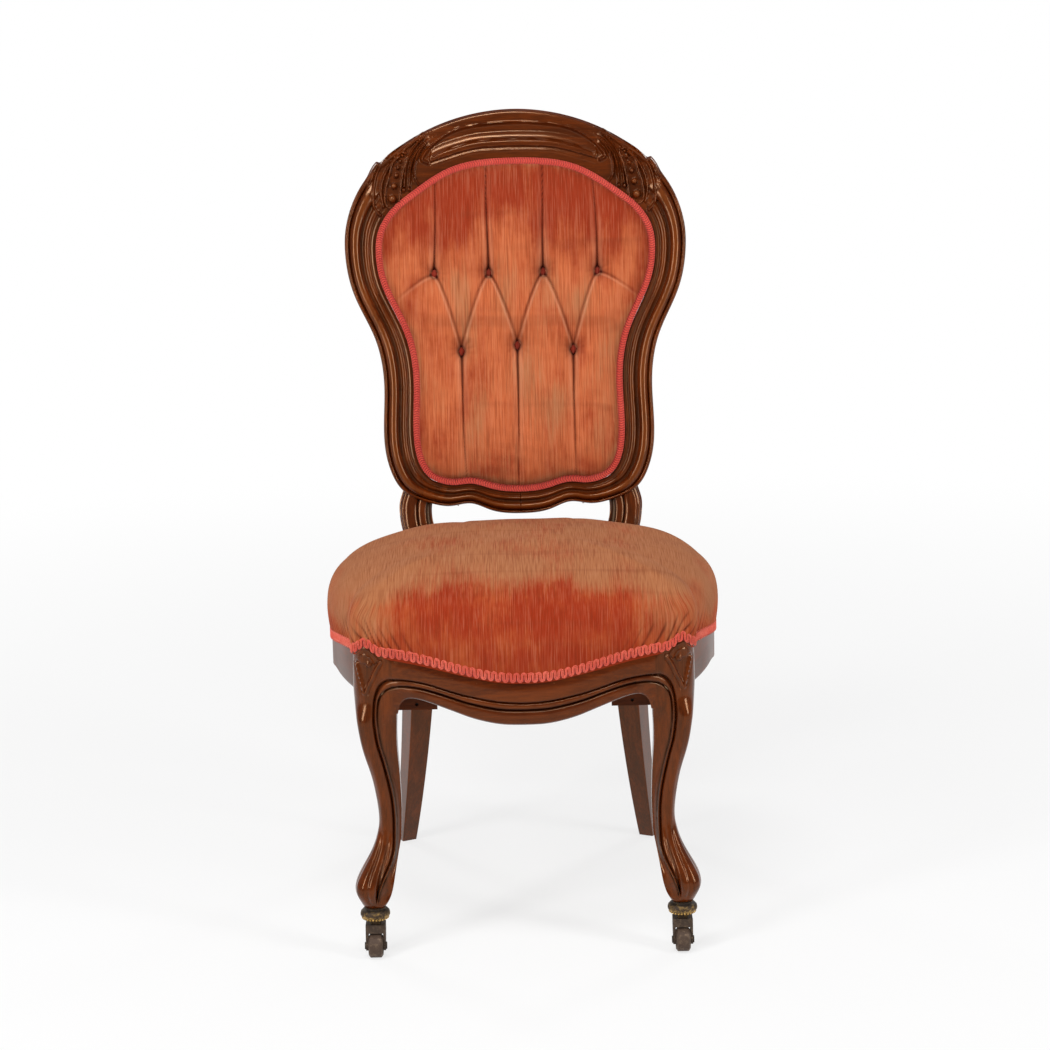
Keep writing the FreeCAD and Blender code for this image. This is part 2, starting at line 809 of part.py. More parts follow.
def rail_section(x):
    """The front rail's profile: broad swelling band, sharp groove, bead, small fillet."""
    face = bow_y(x)
    top = seat_line(x, -230.0) + 6.0
    low = rail_bottom(x)
    groove = low + 17.0
    back = size("rail_back_y")

    def at(depth, height):
        return V(x, face + depth, height)

    return Part.Wire(
        [
            line_edge(V(x, back, low), V(x, back, top)),
            line_edge(V(x, back, top), at(1.0, top)),
            arc_edge(at(1.0, top), at(-1.5, (top + groove) / 2.0), at(1.6, groove + 2.4)),
            line_edge(at(1.6, groove + 2.4), at(6.0, groove)),
            line_edge(at(6.0, groove), at(2.2, groove - 2.2)),
            arc_edge(at(2.2, groove - 2.2), at(-0.8, low + 9.4), at(2.6, low + 4.0)),
            line_edge(at(2.6, low + 4.0), at(4.6, low + 3.6)),
            line_edge(at(4.6, low + 3.6), at(4.6, low)),
            line_edge(at(4.6, low), V(x, back, low)),
        ]
    )


leg_x = size("leg_inner_x")
rail_sections = []
for i in range(RAIL_STATIONS):
    rail_sections.append(rail_section(-leg_x + 2.0 * leg_x * i / (RAIL_STATIONS - 1.0)))
front_rail = Part.makeLoft(rail_sections, True, False)
front_rail = front_rail.common(under_line)

thick = size("side_rail_thickness")
bottom_z = size("side_rail_bottom")
wide_x = size("seat_half_width")
wide_y = size("seat_widest_y")
leg_back = size("leg_back_y")


def level_point(xy, level):
    """A plan point at a level."""
    return V(xy[0], xy[1], level)


side_outline = Part.Wire(
    [
        arc_edge(
            level_point(SIDE_FRONT, bottom_z),
            level_point(SIDE_MID_FRONT, bottom_z),
            V(wide_x, wide_y, bottom_z),
        ),
        arc_edge(
            V(wide_x, wide_y, bottom_z),
            level_point(SIDE_MID_REAR, bottom_z),
            level_point(SIDE_REAR, bottom_z),
        ),
        line_edge(level_point(SIDE_REAR, bottom_z), V(142, 118, bottom_z)),
        arc_edge(V(142, 118, bottom_z), V(196, 72, bottom_z), V(wide_x - thick, wide_y, bottom_z)),
        arc_edge(
            V(wide_x - thick, wide_y, bottom_z),
            V(SIDE_MID_FRONT[0] - thick, SIDE_MID_FRONT[1] + 1, bottom_z),
            V(SIDE_FRONT[0] - thick, leg_back, bottom_z),
        ),
        line_edge(V(SIDE_FRONT[0] - thick, leg_back, bottom_z), level_point(SIDE_FRONT, bottom_z)),
    ]
)
side_rail = Part.Face(side_outline).extrude(V(0, 0, 80)).common(under_line)
side_rail = solid_of(side_rail.cut(rear_leg))

# Dowels: front rail to leg, leg to side rail, side rail to post, rear rail to post.
turn = math.radians(size("rear_leg_turn"))
post_out = V(math.cos(turn), -math.sin(turn), 0)
post_back = V(math.sin(turn), math.cos(turn), 0)
post_centre = V(post_x, post_y, 0)
joint_length = 40.0
rail_dowels = []
rail_holes = []
for level in (331.0, 350.0):
    for radius, group in ((dowel_r, rail_dowels), (dowel_hole, rail_holes)):
        group.append(dowel_between(V(leg_x, -222, level), V(1, 0, 0), radius, joint_length))
for level in (318.6, 333.6):
    side_joint = V(SIDE_FRONT[0] - thick / 2.0 - 1.0, leg_back, level)
    rear_joint = post_centre + post_out * post_half + V(0, 0, level) - post_back * 1.5
    cross_joint = post_centre - post_out * post_half + V(0, 0, level) + post_back * 6.0
    for radius, group in ((dowel_r, rail_dowels), (dowel_hole, rail_holes)):
        group.append(dowel_between(side_joint, V(0.12, 1, 0), radius, joint_length))
        group.append(dowel_between(rear_joint + post_out * 4.0, V(1, -0.6, 0), radius, 32.0))
        group.append(dowel_between(cross_joint - V(4, 0, 0), V(1, 0, 0), radius, 30.0))

all_holes = rail_holes + [mirrored(h) for h in rail_holes]
hole_tool = Part.makeCompound(all_holes)
front_leg = solid_of(front_leg.cut(hole_tool))
rear_leg_plain = rear_leg
rear_leg = solid_of(rear_leg.cut(hole_tool))
front_rail = solid_of(front_rail.cut(hole_tool))
side_rail = solid_of(side_rail.cut(hole_tool))

add_feature("seat_rail_dowels", Part.makeCompound(rail_dowels + [mirrored(d) for d in rail_dowels]))

rear_box = doc.addObject("Part::Box", "rear_rail_stock")
rear_box.setExpression("Length", cell("rear_rail_width"))
rear_box.setExpression("Width", cell("rear_rail_thickness"))
rear_box.setExpression("Height", cell("rear_rail_height"))
rear_box.setExpression("Placement.Base.x", "-" + cell("rear_rail_width") + " / 2")
rear_box.setExpression("Placement.Base.y", cell("rear_rail_y") + " - " + cell("rear_rail_thickness") + " / 2")
rear_box.setExpression("Placement.Base.z", cell("rear_rail_z") + " - " + cell("rear_rail_height") + " / 2")
doc.recompute()
rear_rail = rear_box.Shape.common(under_line)
rear_rail = rear_rail.cut(Part.makeCompound([rear_leg_plain, mirrored(rear_leg_plain)]))
rear_rail = solid_of(rear_rail.cut(hole_tool))

# Corner blocks and their screws.
block_low = 305.0
block_high = 325.0


def corner_blank(points):
    """A glue block from its plan points."""
    corners = [V(x, y, block_low) for x, y in points]
    wire = Part.makePolygon(corners + corners[:1])
    return Part.Face(wire).extrude(V(0, 0, block_high - block_low))


inner_y = size("rail_back_y")
front_blank = corner_blank(
    ((104, inner_y), (leg_x, inner_y), (leg_x, leg_back), (200, leg_back), (207, -140))
)
rear_blank = corner_blank(((96, 122), (135, 122), (150, 104), (196, 80), (190, 60)))

screw = doc.addObject("PartDesign::Body", "corner_screw")
screw_sketch = new_sketch(screw, "corner_screw_profile", "XZ_Plane")
add_profile(
    screw_sketch,
    (
        (0, 0),
        ("screw_head_radius", 0),
        ("screw_head_radius", "screw_head_height"),
        ("screw_radius", "screw_head_height"),
        ("screw_radius", "screw_length"),
        (0, "screw_length"),
    ),
)
screw_turn = screw.newObject("PartDesign::Revolution", "corner_screw_turn")
screw_turn.Profile = screw_sketch
screw_turn.ReferenceAxis = (screw_sketch, ["V_Axis"])
screw_turn.Angle = 360
screw.Tip = screw_turn
doc.recompute()

# Each screw: where its head sits and which way it goes in.
SCREWS = (
    (V(128, -193.0, 311.5), V(0.05, -1, 0)),
    (V(168, -166.0, 311.5), V(0.96, 0.2, 0)),
    (V(118, 107.8, 311.5), V(-0.1, 1, 0)),
    (V(176, 69.0, 311.5), V(0.9, 0.44, 0)),
)


def screw_copies(shape):
    """The right-hand screws, turned so that the pattern's axis goes into the wood."""
    copies = []
    for head, way in SCREWS:
        turn = FreeCAD.Rotation(V(0, 0, 1), way)
        copies.append(placed(shape, FreeCAD.Placement(head, turn)))
    return copies


right_screws = screw_copies(screw.Shape)
screw_driver_room = screw_copies(Part.makeCylinder(6.0, 40.0, V(0, 0, 0), V(0, 0, -1)))
wood_around = [front_leg, side_rail, front_rail, rear_leg, rear_rail]
front_block = front_blank.cut(Part.makeCompound(wood_around + [right_screws[0], right_screws[1]]))
front_block = solid_of(front_block.cut(Part.makeCompound([screw_driver_room[0], screw_driver_room[1]])))
rear_block = rear_blank.cut(Part.makeCompound(wood_around + [right_screws[2], right_screws[3]]))
rear_block = solid_of(rear_block.cut(Part.makeCompound([screw_driver_room[2], screw_driver_room[3]])))
left_screws = [mirrored(s) for s in right_screws]
screw_tool = Part.makeCompound(right_screws + left_screws)
front_rail = solid_of(front_rail.cut(screw_tool))
side_rail = solid_of(side_rail.cut(screw_tool))
rear_rail = solid_of(rear_rail.cut(screw_tool))

add_feature("right_front_leg", front_leg)
add_feature("left_front_leg", mirrored(front_leg))
add_feature("right_rear_leg", rear_leg)
add_feature("left_rear_leg", mirrored(rear_leg))
add_feature("front_seat_rail", front_rail)
add_feature("right_side_rail", side_rail)
add_feature("left_side_rail", mirrored(side_rail))
add_feature("rear_seat_rail", rear_rail)
blocks = [front_block, rear_block, mirrored(front_block), mirrored(rear_block)]
add_feature("corner_blocks", Part.makeCompound(blocks))
add_feature("corner_block_screws", screw_tool)

# Ledges, webbing, springs, canvas.
web_z = size("webbing_level")
ledge_w = size("ledge_width")
ledge_h = size("ledge_height")
rear_face = size("rear_rail_y") - size("rear_rail_thickness") / 2.0
frame_wood = Part.makeCompound([front_rail, side_rail, mirrored(side_rail), rear_rail])
all_blocks = Part.makeCompound(blocks)
ledge_front = Part.makeBox(196, ledge_w, ledge_h, V(-98, inner_y, web_z - ledge_h))
ledge_rear = Part.makeBox(184, ledge_w, ledge_h, V(-92, rear_face - ledge_w, web_z - ledge_h))
side_ledge_wire = Part.Wire(
    [
        arc_edge(V(200, -120, web_z - ledge_h), V(212, -30, web_z - ledge_h), V(202, 45, web_z - ledge_h)),
        line_edge(V(202, 45, web_z - ledge_h), V(230, 45, web_z - ledge_h)),
        line_edge(V(230, 45, web_z - ledge_h), V(230, -120, web_z - ledge_h)),
        line_edge(V(230, -120, web_z - ledge_h), V(200, -120, web_z - ledge_h)),
    ]
)
side_ledge = Part.Face(side_ledge_wire).extrude(V(0, 0, ledge_h)).cut(side_rail)
side_ledge = sorted(side_ledge.Solids, key=lambda s: s.CenterOfMass.x)[0]
ledges = [ledge_front, ledge_rear, side_ledge, mirrored(side_ledge)]
add_feature("webbing_ledges", Part.makeCompound(ledges))

web_t = size("webbing_thickness")
web_w = size("webbing_width")
seat_straps = []
keep_out = Part.makeCompound([front_rail, rear_rail, side_rail, mirrored(side_rail), front_leg,
                              mirrored(front_leg), rear_leg, mirrored(rear_leg)])
for x in (-118, -59, 0, 59, 118):
    strap = Part.makeBox(web_w, 380, web_t, V(x - web_w / 2.0, -240, web_z))
    seat_straps.append(solid_of(strap.cut(keep_out)))
for y in (-150, -90, -30, 30, 88):
    strap = Part.makeBox(476, web_w - 4.0, web_t, V(-238, y - web_w / 2.0, web_z + web_t))
    seat_straps.append(solid_of(strap.cut(keep_out)))
add_feature("seat_webbing", Part.makeCompound(seat_straps))

spring_low = web_z + 2.0 * web_t
cavity_top = size("seat_cavity_top")
canvas_t = size("canvas_thickness")
wire_r = size("spring_wire")
coil_r = size("spring_radius")
coil_height = cavity_top - canvas_t - spring_low - 2.0 * wire_r
coil_turns = 5


def coil_point(quarter):
    """A point of the coil's centre line, counted in quarter turns."""
    a = quarter * math.pi / 2.0
    return V(coil_r * math.cos(a), coil_r * math.sin(a), coil_height * quarter / (4.0 * coil_turns))


def coil_way(quarter):
    """The coil's direction at a point of its centre line."""
    a = quarter * math.pi / 2.0
    climb = coil_height / (2.0 * math.pi * coil_turns)
    return V(-coil_r * math.sin(a), coil_r * math.cos(a), climb).normalize()


def tangent_arc(start, corner, end):
    """The arc that leaves start towards corner and reaches end from corner."""
    middle = (start + end) * 0.5
    half_chord = (start - middle).Length
    height = (corner - middle).Length
    run = (corner - start).Length
    radius = half_chord * run / height
    sagitta = radius - math.sqrt(radius * radius - half_chord * half_chord)
    return arc_edge(start, middle + (corner - middle) * (sagitta / height), end)


def biarc(start, way_out, end, way_in):
    """Two arcs that join two points with their directions."""
    span = end - start
    ways = way_out + way_in
    turn_share = 2.0 * (1.0 - way_out.dot(way_in))
    reach = (-span.dot(ways) + math.sqrt(span.dot(ways) ** 2 + turn_share * span.dot(span))) / turn_share
    first = start + way_out * reach
    second = end - way_in * reach
    joint = (first + second) * 0.5
    return [tangent_arc(start, first, joint), tangent_arc(joint, second, end)]


coil_edges = []
for quarter in range(4 * coil_turns):
    coil_edges += biarc(
        coil_point(quarter), coil_way(quarter), coil_point(quarter + 1), coil_way(quarter + 1)
    )
circle = Part.Wire([Part.makeCircle(wire_r, coil_point(0), coil_way(0))])
coil = Part.Wire(coil_edges).makePipeShell([circle], True, False)
coil_gaps = []
for i in range(20 * coil_turns):
    for j in range(i + 12, 20 * coil_turns):
        coil_gaps.append((coil_point(i / 5.0) - coil_point(j / 5.0)).Length)
print("least gap of a coil to itself %.2f mm" % (min(coil_gaps) - 2.0 * wire_r))
springs = []
for sx, sy in ((-95, -125), (95, -125), (0, -35), (-95, 55), (95, 55)):
    seat_place = FreeCAD.Placement(V(sx, sy, spring_low + wire_r + 0.05), FreeCAD.Rotation())
    springs.append(placed(coil, seat_place))
add_feature("seat_springs", Part.makeCompound(springs))

spring_canvas = cavity_face(cavity_top - canvas_t).extrude(V(0, 0, canvas_t))

# Seat cushion and its braid.
seat_mid_y = -55.0
seat_half_depth = 203.0


def seat_height(x, y):
    """The crown of the seat: full in the middle, falling faster towards the edges."""
    u = abs(x) / 246.0
    v = abs(y - seat_mid_y) / seat_half_depth
    reach = min(1.35, (u ** 2.9 + v ** 2.9) ** (1.0 / 2.9))
    rise = size("seat_crown") - size("seat_shoulder")
    return size("seat_shoulder") + rise * (1.0 - reach ** 2.7)


crown_face = plane_grid(seat_height, -275, 275, 41, -290, 175, 35)
under_crown = crown_face.extrude(V(0, 0, -200))
# The sides swell out above the braid and draw in again towards the top.
SIDE_LEVELS = ((325, 0.0), (390, 0.0), (402, 4.2), (418, 5.8), (434, 3.6), (452, -3.5), (500, -18.0))
side_wires = [offset_outline(level, amount) for level, amount in SIDE_LEVELS]
cushion = Part.makeLoft(side_wires, True, True)
cushion = cushion.common(under_crown).common(over_line)
cavity = cavity_face(300).extrude(V(0, 0, cavity_top - 300))
cushion = cushion.cut(cavity)
legs_tool = Part.makeCompound([rear_leg, mirrored(rear_leg)])
cushion = cushion.cut(legs_tool)
spring_canvas = spring_canvas.cut(legs_tool)
add_feature("seat_pad", solid_of(cushion))
add_feature("spring_canvas", solid_of(spring_canvas))

braid_zone = Part.Face(offset_outline(330, size("gimp_depth"))).extrude(V(0, 0, 70))
braid_zone = braid_zone.cut(Part.Face(seat_outline(330)).extrude(V(0, 0, 70)))
braid = braid_zone.common(line_face.extrude(V(0, 0, size("gimp_width"))))
braid = braid.cut(legs_tool)
braid_pieces = [s for s in braid.Solids if s.Volume > 20.0]
add_feature("seat_gimp", Part.makeCompound(braid_pieces) if len(braid_pieces) > 1 else braid_pieces[0])

# Casters.
socket = doc.addObject("PartDesign::Body", "right_caster_socket")
socket_sketch = new_sketch(socket, "socket_profile", "XZ_Plane")
add_profile(
    socket_sketch,
    (
        (0, "head_bottom"),
        ("head_radius", "head_bottom"),
        ("head_radius", "head_top"),
        ("pintle_radius", "head_top"),
        ("pintle_radius", "neck_bottom"),
        ("neck_radius", "neck_bottom"),
        ("neck_radius", "ring_bottom"),
        ("ring_bottom_radius", "ring_bottom"),
        ("ring_radius", "ring_widest_bottom"),
        ("ring_radius", "ring_widest_top"),
        ("ring_top_radius", "leg_foot_z"),
        ("shank_radius", "leg_foot_z"),
        ("shank_radius", "shank_top"),
        (0, "shank_top"),
    ),
)
socket_turn = socket.newObject("PartDesign::Revolution", "socket_turn")
socket_turn.Profile = socket_sketch
socket_turn.ReferenceAxis = (socket_sketch, ["V_Axis"])
socket_turn.Angle = 360
socket.Tip = socket_turn
socket.Label = "right_caster_socket"
socket.setExpression("Placement.Base.x", cell("caster_x"))
socket.setExpression("Placement.Base.y", cell("caster_y"))
doc.recompute()


def fork_shape():
    """The caster's fork about the swivel axis: square crown, two arms, axle bosses."""
    half = size("fork_half_width")
    depth = size("crown_half_depth")
    top = size("crown_top")
    low = size("crown_bottom")
    trail = size("trail")
    boss = size("axle_boss")
    axle_z = size("axle_height")
    side = [
        V(-half, -depth, top),
        V(-half, depth, top),
        V(-half, depth, low + 1.0),
        V(-half, -trail + boss * 0.92, axle_z - boss * 0.4),
        V(-half, -trail - boss * 0.92, axle_z - boss * 0.4),
        V(-half, -depth - 2.0, low),
    ]
    side.append(side[0])
    body = Part.Face(Part.makePolygon(side)).extrude(V(2.0 * half, 0, 0))
    body = body.fuse(Part.makeCylinder(boss, 2.0 * half, V(-half, -trail, axle_z), V(1, 0, 0)))
    slot = size("fork_slot")
    body = body.cut(Part.makeBox(slot, 60, low, V(-slot / 2.0, -40, 0)))
    body = body.cut(Part.makeCylinder(size("pintle_bore"), 60, V(0, 0, 0)))
    body = body.cut(Part.makeCylinder(size("axle_radius"), 60, V(-30, -trail, axle_z), V(1, 0, 0)))
    return solid_of(body)


right_place = FreeCAD.Placement(V(size("caster_x"), size("caster_y"), 0), FreeCAD.Rotation())
left_place = FreeCAD.Placement(V(-size("caster_x"), size("caster_y"), 0), FreeCAD.Rotation())
add_feature("right_caster_fork", fork_shape(), right_place)
add_feature("left_caster_fork", fork_shape(), left_place)

wheel = doc.addObject("PartDesign::Body", "right_caster_wheel")
wheel_sketch = new_sketch(wheel, "wheel_profile", "XY_Plane")
# Half of the wheel's section, from its middle plane out; the other half is mirrored.
add_profile(
    wheel_sketch,
    (
        (0, "wheel_bore"),
        ("wheel_hub_half_width", "wheel_bore"),
        ("wheel_hub_half_width", "wheel_hub_radius"),
        ("wheel_web_half_width", "wheel_hub_radius"),
        ("wheel_web_half_width", "wheel_rim_inner"),
        ("wheel_half_width", "wheel_rim_inner"),
        ("wheel_tread_half", "wheel_radius"),
        (0, "wheel_radius"),
    ),
)
wheel_turn = wheel.newObject("PartDesign::Revolution", "wheel_turn")
wheel_turn.Profile = wheel_sketch
wheel_turn.ReferenceAxis = (wheel_sketch, ["H_Axis"])
wheel_turn.Angle = 360
wheel.Tip = wheel_turn
doc.recompute()
wheel_mirror = wheel.newObject("PartDesign::Mirrored", "wheel_other_half")
wheel_mirror.Originals = [wheel_turn]
wheel_mirror.MirrorPlane = (wheel_sketch, ["V_Axis"])
wheel.Tip = wheel_mirror
wheel.Label = "right_caster_wheel"
wheel.setExpression("Placement.Base.x", cell("caster_x"))
wheel.setExpression("Placement.Base.y", cell("caster_y") + " - " + cell("trail"))
wheel.setExpression("Placement.Base.z", cell("axle_height"))

axle = doc.addObject("PartDesign::Body", "right_caster_axle")
axle_sketch = new_sketch(axle, "axle_profile", "XY_Plane")
add_profile(
    axle_sketch,
    (
        (0, 0),
        ("axle_half_length", 0),
        ("axle_half_length", "axle_head_radius"),
        ("fork_half_width", "axle_head_radius"),
        ("fork_half_width", "axle_radius"),
        (0, "axle_radius"),
    ),
)
axle_turn = axle.newObject("PartDesign::Revolution", "axle_turn")
axle_turn.Profile = axle_sketch
axle_turn.ReferenceAxis = (axle_sketch, ["H_Axis"])
axle_turn.Angle = 360
axle.Tip = axle_turn
doc.recompute()
axle_mirror = axle.newObject("PartDesign::Mirrored", "axle_other_half")
axle_mirror.Originals = [axle_turn]
axle_mirror.MirrorPlane = (axle_sketch, ["V_Axis"])
axle.Tip = axle_mirror
axle.Label = "right_caster_axle"
axle.setExpression("Placement.Base.x", cell("caster_x"))
axle.setExpression("Placement.Base.y", cell("caster_y") + " - " + cell("trail"))
axle.setExpression("Placement.Base.z", cell("axle_height"))
doc.recompute()

for body, label in ((socket, "left_caster_socket"), (wheel, "left_caster_wheel"), (axle, "left_caster_axle")):
    twin = doc.addObject("Part::Mirroring", label)
    twin.Label = label
    twin.Source = body
    twin.Normal = V(1, 0, 0)
    twin.Base = V(0, 0, 0)
doc.recompute()

# Write the pieces.
NODES = (
    "crest_rail", "left_back_stile", "right_back_stile", "back_bottom_rail", "back_dowels",
    "back_pad", "back_gimp", "back_buttons", "back_webbing", "outside_back_cover",
    "outside_back_gimp", "left_rear_leg", "right_rear_leg", "left_front_leg", "right_front_leg",
    "front_seat_rail", "left_side_rail", "right_side_rail", "rear_seat_rail", "seat_rail_dowels",
    "corner_blocks", "corner_block_screws", "webbing_ledges", "seat_webbing", "seat_springs",
    "spring_canvas", "seat_pad", "seat_gimp",
    "left_caster_socket", "left_caster_fork", "left_caster_axle", "left_caster_wheel",
    "right_caster_socket", "right_caster_fork", "right_caster_axle", "right_caster_wheel",
)

faults = []
for item in doc.Objects:
    if "Invalid" in item.State or "Error" in item.State:
        faults.append("%s: %s" % (item.Name, item.State))
by_label = {item.Label: item for item in doc.Objects}
for node in NODES:
    shape = by_label[node].Shape
    if shape.isNull() or not shape.isValid() or not shape.Solids:
        faults.append("%s: null %s, solids %d" % (node, shape.isNull(), len(shape.Solids)))
if faults:
    raise RuntimeError("; ".join(faults))

os.makedirs("parts", exist_ok=True)
for node in NODES:
    by_label[node].Shape.exportStep(os.path.join("parts", node + ".step"))
    shape = by_label[node].Shape
    print("%-22s solids %2d volume %10.0f" % (node, len(shape.Solids), shape.Volume))
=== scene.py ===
"""Looks of an upholstered balloon back side chair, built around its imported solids.

Lengths in the classes are millimetres in the chair's frame; meshes are written in metres.
"""

import json
import logging
import math
from dataclasses import dataclass, field
from enum import Enum
from typing import Any, Dict, List, Optional, Sequence, Tuple

import bmesh
import bpy
import numpy as np
from mathutils import Matrix, Vector

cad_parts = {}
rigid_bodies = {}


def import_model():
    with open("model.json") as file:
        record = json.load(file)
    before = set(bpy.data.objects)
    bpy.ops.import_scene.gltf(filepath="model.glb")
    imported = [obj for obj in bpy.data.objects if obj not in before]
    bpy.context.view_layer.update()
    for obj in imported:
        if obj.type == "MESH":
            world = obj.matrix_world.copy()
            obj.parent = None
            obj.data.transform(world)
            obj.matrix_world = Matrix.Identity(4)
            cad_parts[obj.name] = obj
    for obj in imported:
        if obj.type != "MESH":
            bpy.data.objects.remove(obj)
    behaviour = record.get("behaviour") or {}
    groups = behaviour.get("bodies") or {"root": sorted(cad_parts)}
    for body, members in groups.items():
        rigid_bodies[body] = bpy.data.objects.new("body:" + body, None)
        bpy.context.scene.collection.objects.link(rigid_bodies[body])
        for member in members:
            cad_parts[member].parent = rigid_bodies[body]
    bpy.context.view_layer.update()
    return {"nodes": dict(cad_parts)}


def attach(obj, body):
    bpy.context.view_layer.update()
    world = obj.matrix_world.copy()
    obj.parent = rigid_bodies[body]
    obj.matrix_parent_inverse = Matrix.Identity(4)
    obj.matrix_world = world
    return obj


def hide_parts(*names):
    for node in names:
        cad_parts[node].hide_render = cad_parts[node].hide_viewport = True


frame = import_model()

LOG = logging.getLogger("chair")
Array = np.ndarray
LADDER = tuple(i / 12.0 for i in range(13))
Points = Sequence[Tuple[float, float]]
Colour = Tuple[float, float, float]


class Side(Enum):
    """The two halves of the chair, as seen from the front."""

    LEFT = -1.0
    RIGHT = 1.0

    @property
    def label(self) -> str:
        """The word used in node names."""
        return self.name.lower()


class Grain(Enum):
    """The way the wood's grain runs."""

    ACROSS = (1.0, 11.0, 11.0)
    UPRIGHT = (11.0, 11.0, 1.0)
    DEEP = (11.0, 1.0, 11.0)


# Formulas on arrays

def ease(value: Array, low: float, high: float) -> Array:
    """A smooth rise: 3u^2 - 2u^3 of the share u between low and high."""
    u = np.clip((value - low) / (high - low), 0.0, 1.0)
    return u * u * (3.0 - 2.0 * u)


def bell(distance: Array, width: float) -> Array:
    """A bell: exp of minus the squared share of the width."""
    return np.exp(-((distance / width) ** 2))


def dome(distance: Array, half_width: float) -> Array:
    """A half round: the root of 1 minus the squared share of the half width, and 0 outside."""
    return np.sqrt(np.clip(1.0 - (distance / half_width) ** 2, 0.0, 1.0))


def ripple(x: Array, y: Array, seed: int, scale: float, count: int = 7) -> Array:
    """A soft unevenness: the mean of sine waves whose directions come from a seed.

    Args:
        x: First coordinate in mm.
        y: Second coordinate in mm.
        seed: Picks the waves.
        scale: The shortest wave's length in mm.
        count: How many waves are summed.

    Returns:
        Values of about -1 to 1.
    """
    rng = np.random.default_rng(seed)
    total = np.zeros_like(np.asarray(x, dtype=float))
    for _ in range(count):
        angle = rng.uniform(0.0, math.pi)
        length = scale * rng.uniform(1.0, 2.6)
        phase = rng.uniform(0.0, 2.0 * math.pi)
        total = total + np.sin((x * math.cos(angle) + y * math.sin(angle)) * 2.0 * math.pi / length + phase)
    return total / count * 1.8


def path_distance(x: Array, w: Array, path: Points) -> Array:
    """Distance to a run of straight stretches: the least over the stretches.

    Args:
        x: First coordinate of the points asked for.
        w: Second coordinate.
        path: Corners of the run.

    Returns:
        Distances with the shape of x.
    """
    best = np.full(np.shape(x), 1e9)
    for (x0, w0), (x1, w1) in zip(path, path[1:]):
        dx, dw = x1 - x0, w1 - w0
        u = np.clip(((x - x0) * dx + (w - w0) * dw) / (dx * dx + dw * dw), 0.0, 1.0)
        best = np.minimum(best, np.hypot(x - x0 - u * dx, w - w0 - u * dw))
    return best


def path_side(x: Array, w: Array, path: Points) -> Array:
    """Signed distance to a run of stretches: positive on the left of its direction.

    Args:
        x: First coordinate of the points asked for.
        w: Second coordinate.
        path: Corners of the run.

    Returns:
        The least distance, with the sign of the stretch that it belongs to; at a shared corner
        that is the stretch whose line lies further away.
    """
    best, clear, sign = np.full(np.shape(x), 1e9), np.zeros(np.shape(x)), np.ones(np.shape(x))
    for (x0, w0), (x1, w1) in zip(path, path[1:]):
        dx, dw = x1 - x0, w1 - w0
        u = np.clip(((x - x0) * dx + (w - w0) * dw) / (dx * dx + dw * dw), 0.0, 1.0)
        gap = np.hypot(x - x0 - u * dx, w - w0 - u * dw)
        across = (dx * (w - w0) - dw * (x - x0)) / math.hypot(dx, dw)
        nearer = (gap < best - 1e-7) | ((gap < best + 1e-7) & (np.abs(across) > clear))
        best, clear = np.where(nearer, gap, best), np.where(nearer, np.abs(across), clear)
        sign = np.where(nearer, np.where(across >= 0.0, 1.0, -1.0), sign)
    return best * sign


def smooth_path(path: Points, parts: int = 6) -> List[Tuple[float, float]]:
    """A run of corners turned into a soft line through them (a Catmull and Rom curve)."""
    pts = np.array([path[0], *path, path[-1]], dtype=float)
    t = np.linspace(0.0, 1.0, parts, endpoint=False)[:, None]
    out: List[Tuple[float, float]] = []
    for a, b, c, d in zip(pts, pts[1:], pts[2:], pts[3:]):
        row = 0.5 * (2 * b + (c - a) * t + (2 * a - 5 * b + 4 * c - d) * t ** 2 + (3 * b - a - 3 * c + d) * t ** 3)
        out += [tuple(p) for p in row]
    return out + [tuple(pts[-1])]


class SmoothCurve:
    """A curve through points that keeps its slope and bend steady, with its end slopes given."""

    def __init__(self, knots: Array, values: Array, start: Array, end: Array) -> None:
        """Works out the slopes at the knots, so that the second derivative has no jump."""
        self.knots = np.asarray(knots, dtype=float)
        self.values = np.asarray(values, dtype=float)
        count = len(self.knots)
        h = np.diff(self.knots)[:, None]
        rise = np.diff(self.values, axis=0) / h
        system = np.zeros((count, count))
        right = np.zeros_like(self.values)
        system[0, 0] = system[-1, -1] = 1.0
        right[0], right[-1] = start, end
        for i in range(1, count - 1):
            system[i, i - 1], system[i, i], system[i, i + 1] = h[i, 0], 2 * (h[i, 0] + h[i - 1, 0]), h[i - 1, 0]
            right[i] = 3.0 * (h[i] * rise[i - 1] + h[i - 1] * rise[i])
        self.slopes = np.linalg.solve(system, right)

    def at(self, u: Array) -> Array:
        """Points of the curve, by the cubic Hermite formula."""
        u = np.clip(np.asarray(u, dtype=float), self.knots[0], self.knots[-1])
        i = np.clip(np.searchsorted(self.knots, u, side="right") - 1, 0, len(self.knots) - 2)
        h = (self.knots[i + 1] - self.knots[i])[..., None]
        t = ((u - self.knots[i]) / h[..., 0])[..., None]
        a, b = self.values[i], self.values[i + 1]
        ma, mb = self.slopes[i] * h, self.slopes[i + 1] * h
        near = (2 * t**3 - 3 * t**2 + 1) * a + (t**3 - 2 * t**2 + t) * ma
        return near + (3 * t**2 - 2 * t**3) * b + (t**3 - t**2) * mb


# Meshes

def grid_faces(rows: int, cols: int, wrap_rows: bool, wrap_cols: bool) -> Array:
    """Four corners of every cell of a grid, which may close on itself either way."""
    r = np.arange(rows if wrap_rows else rows - 1)
    c = np.arange(cols if wrap_cols else cols - 1)
    r, c = np.meshgrid(r, c, indexing="ij")
    r2, c2 = (r + 1) % rows, (c + 1) % cols
    return np.stack([r * cols + c, r2 * cols + c, r2 * cols + c2, r * cols + c2], axis=-1).reshape(-1, 4)


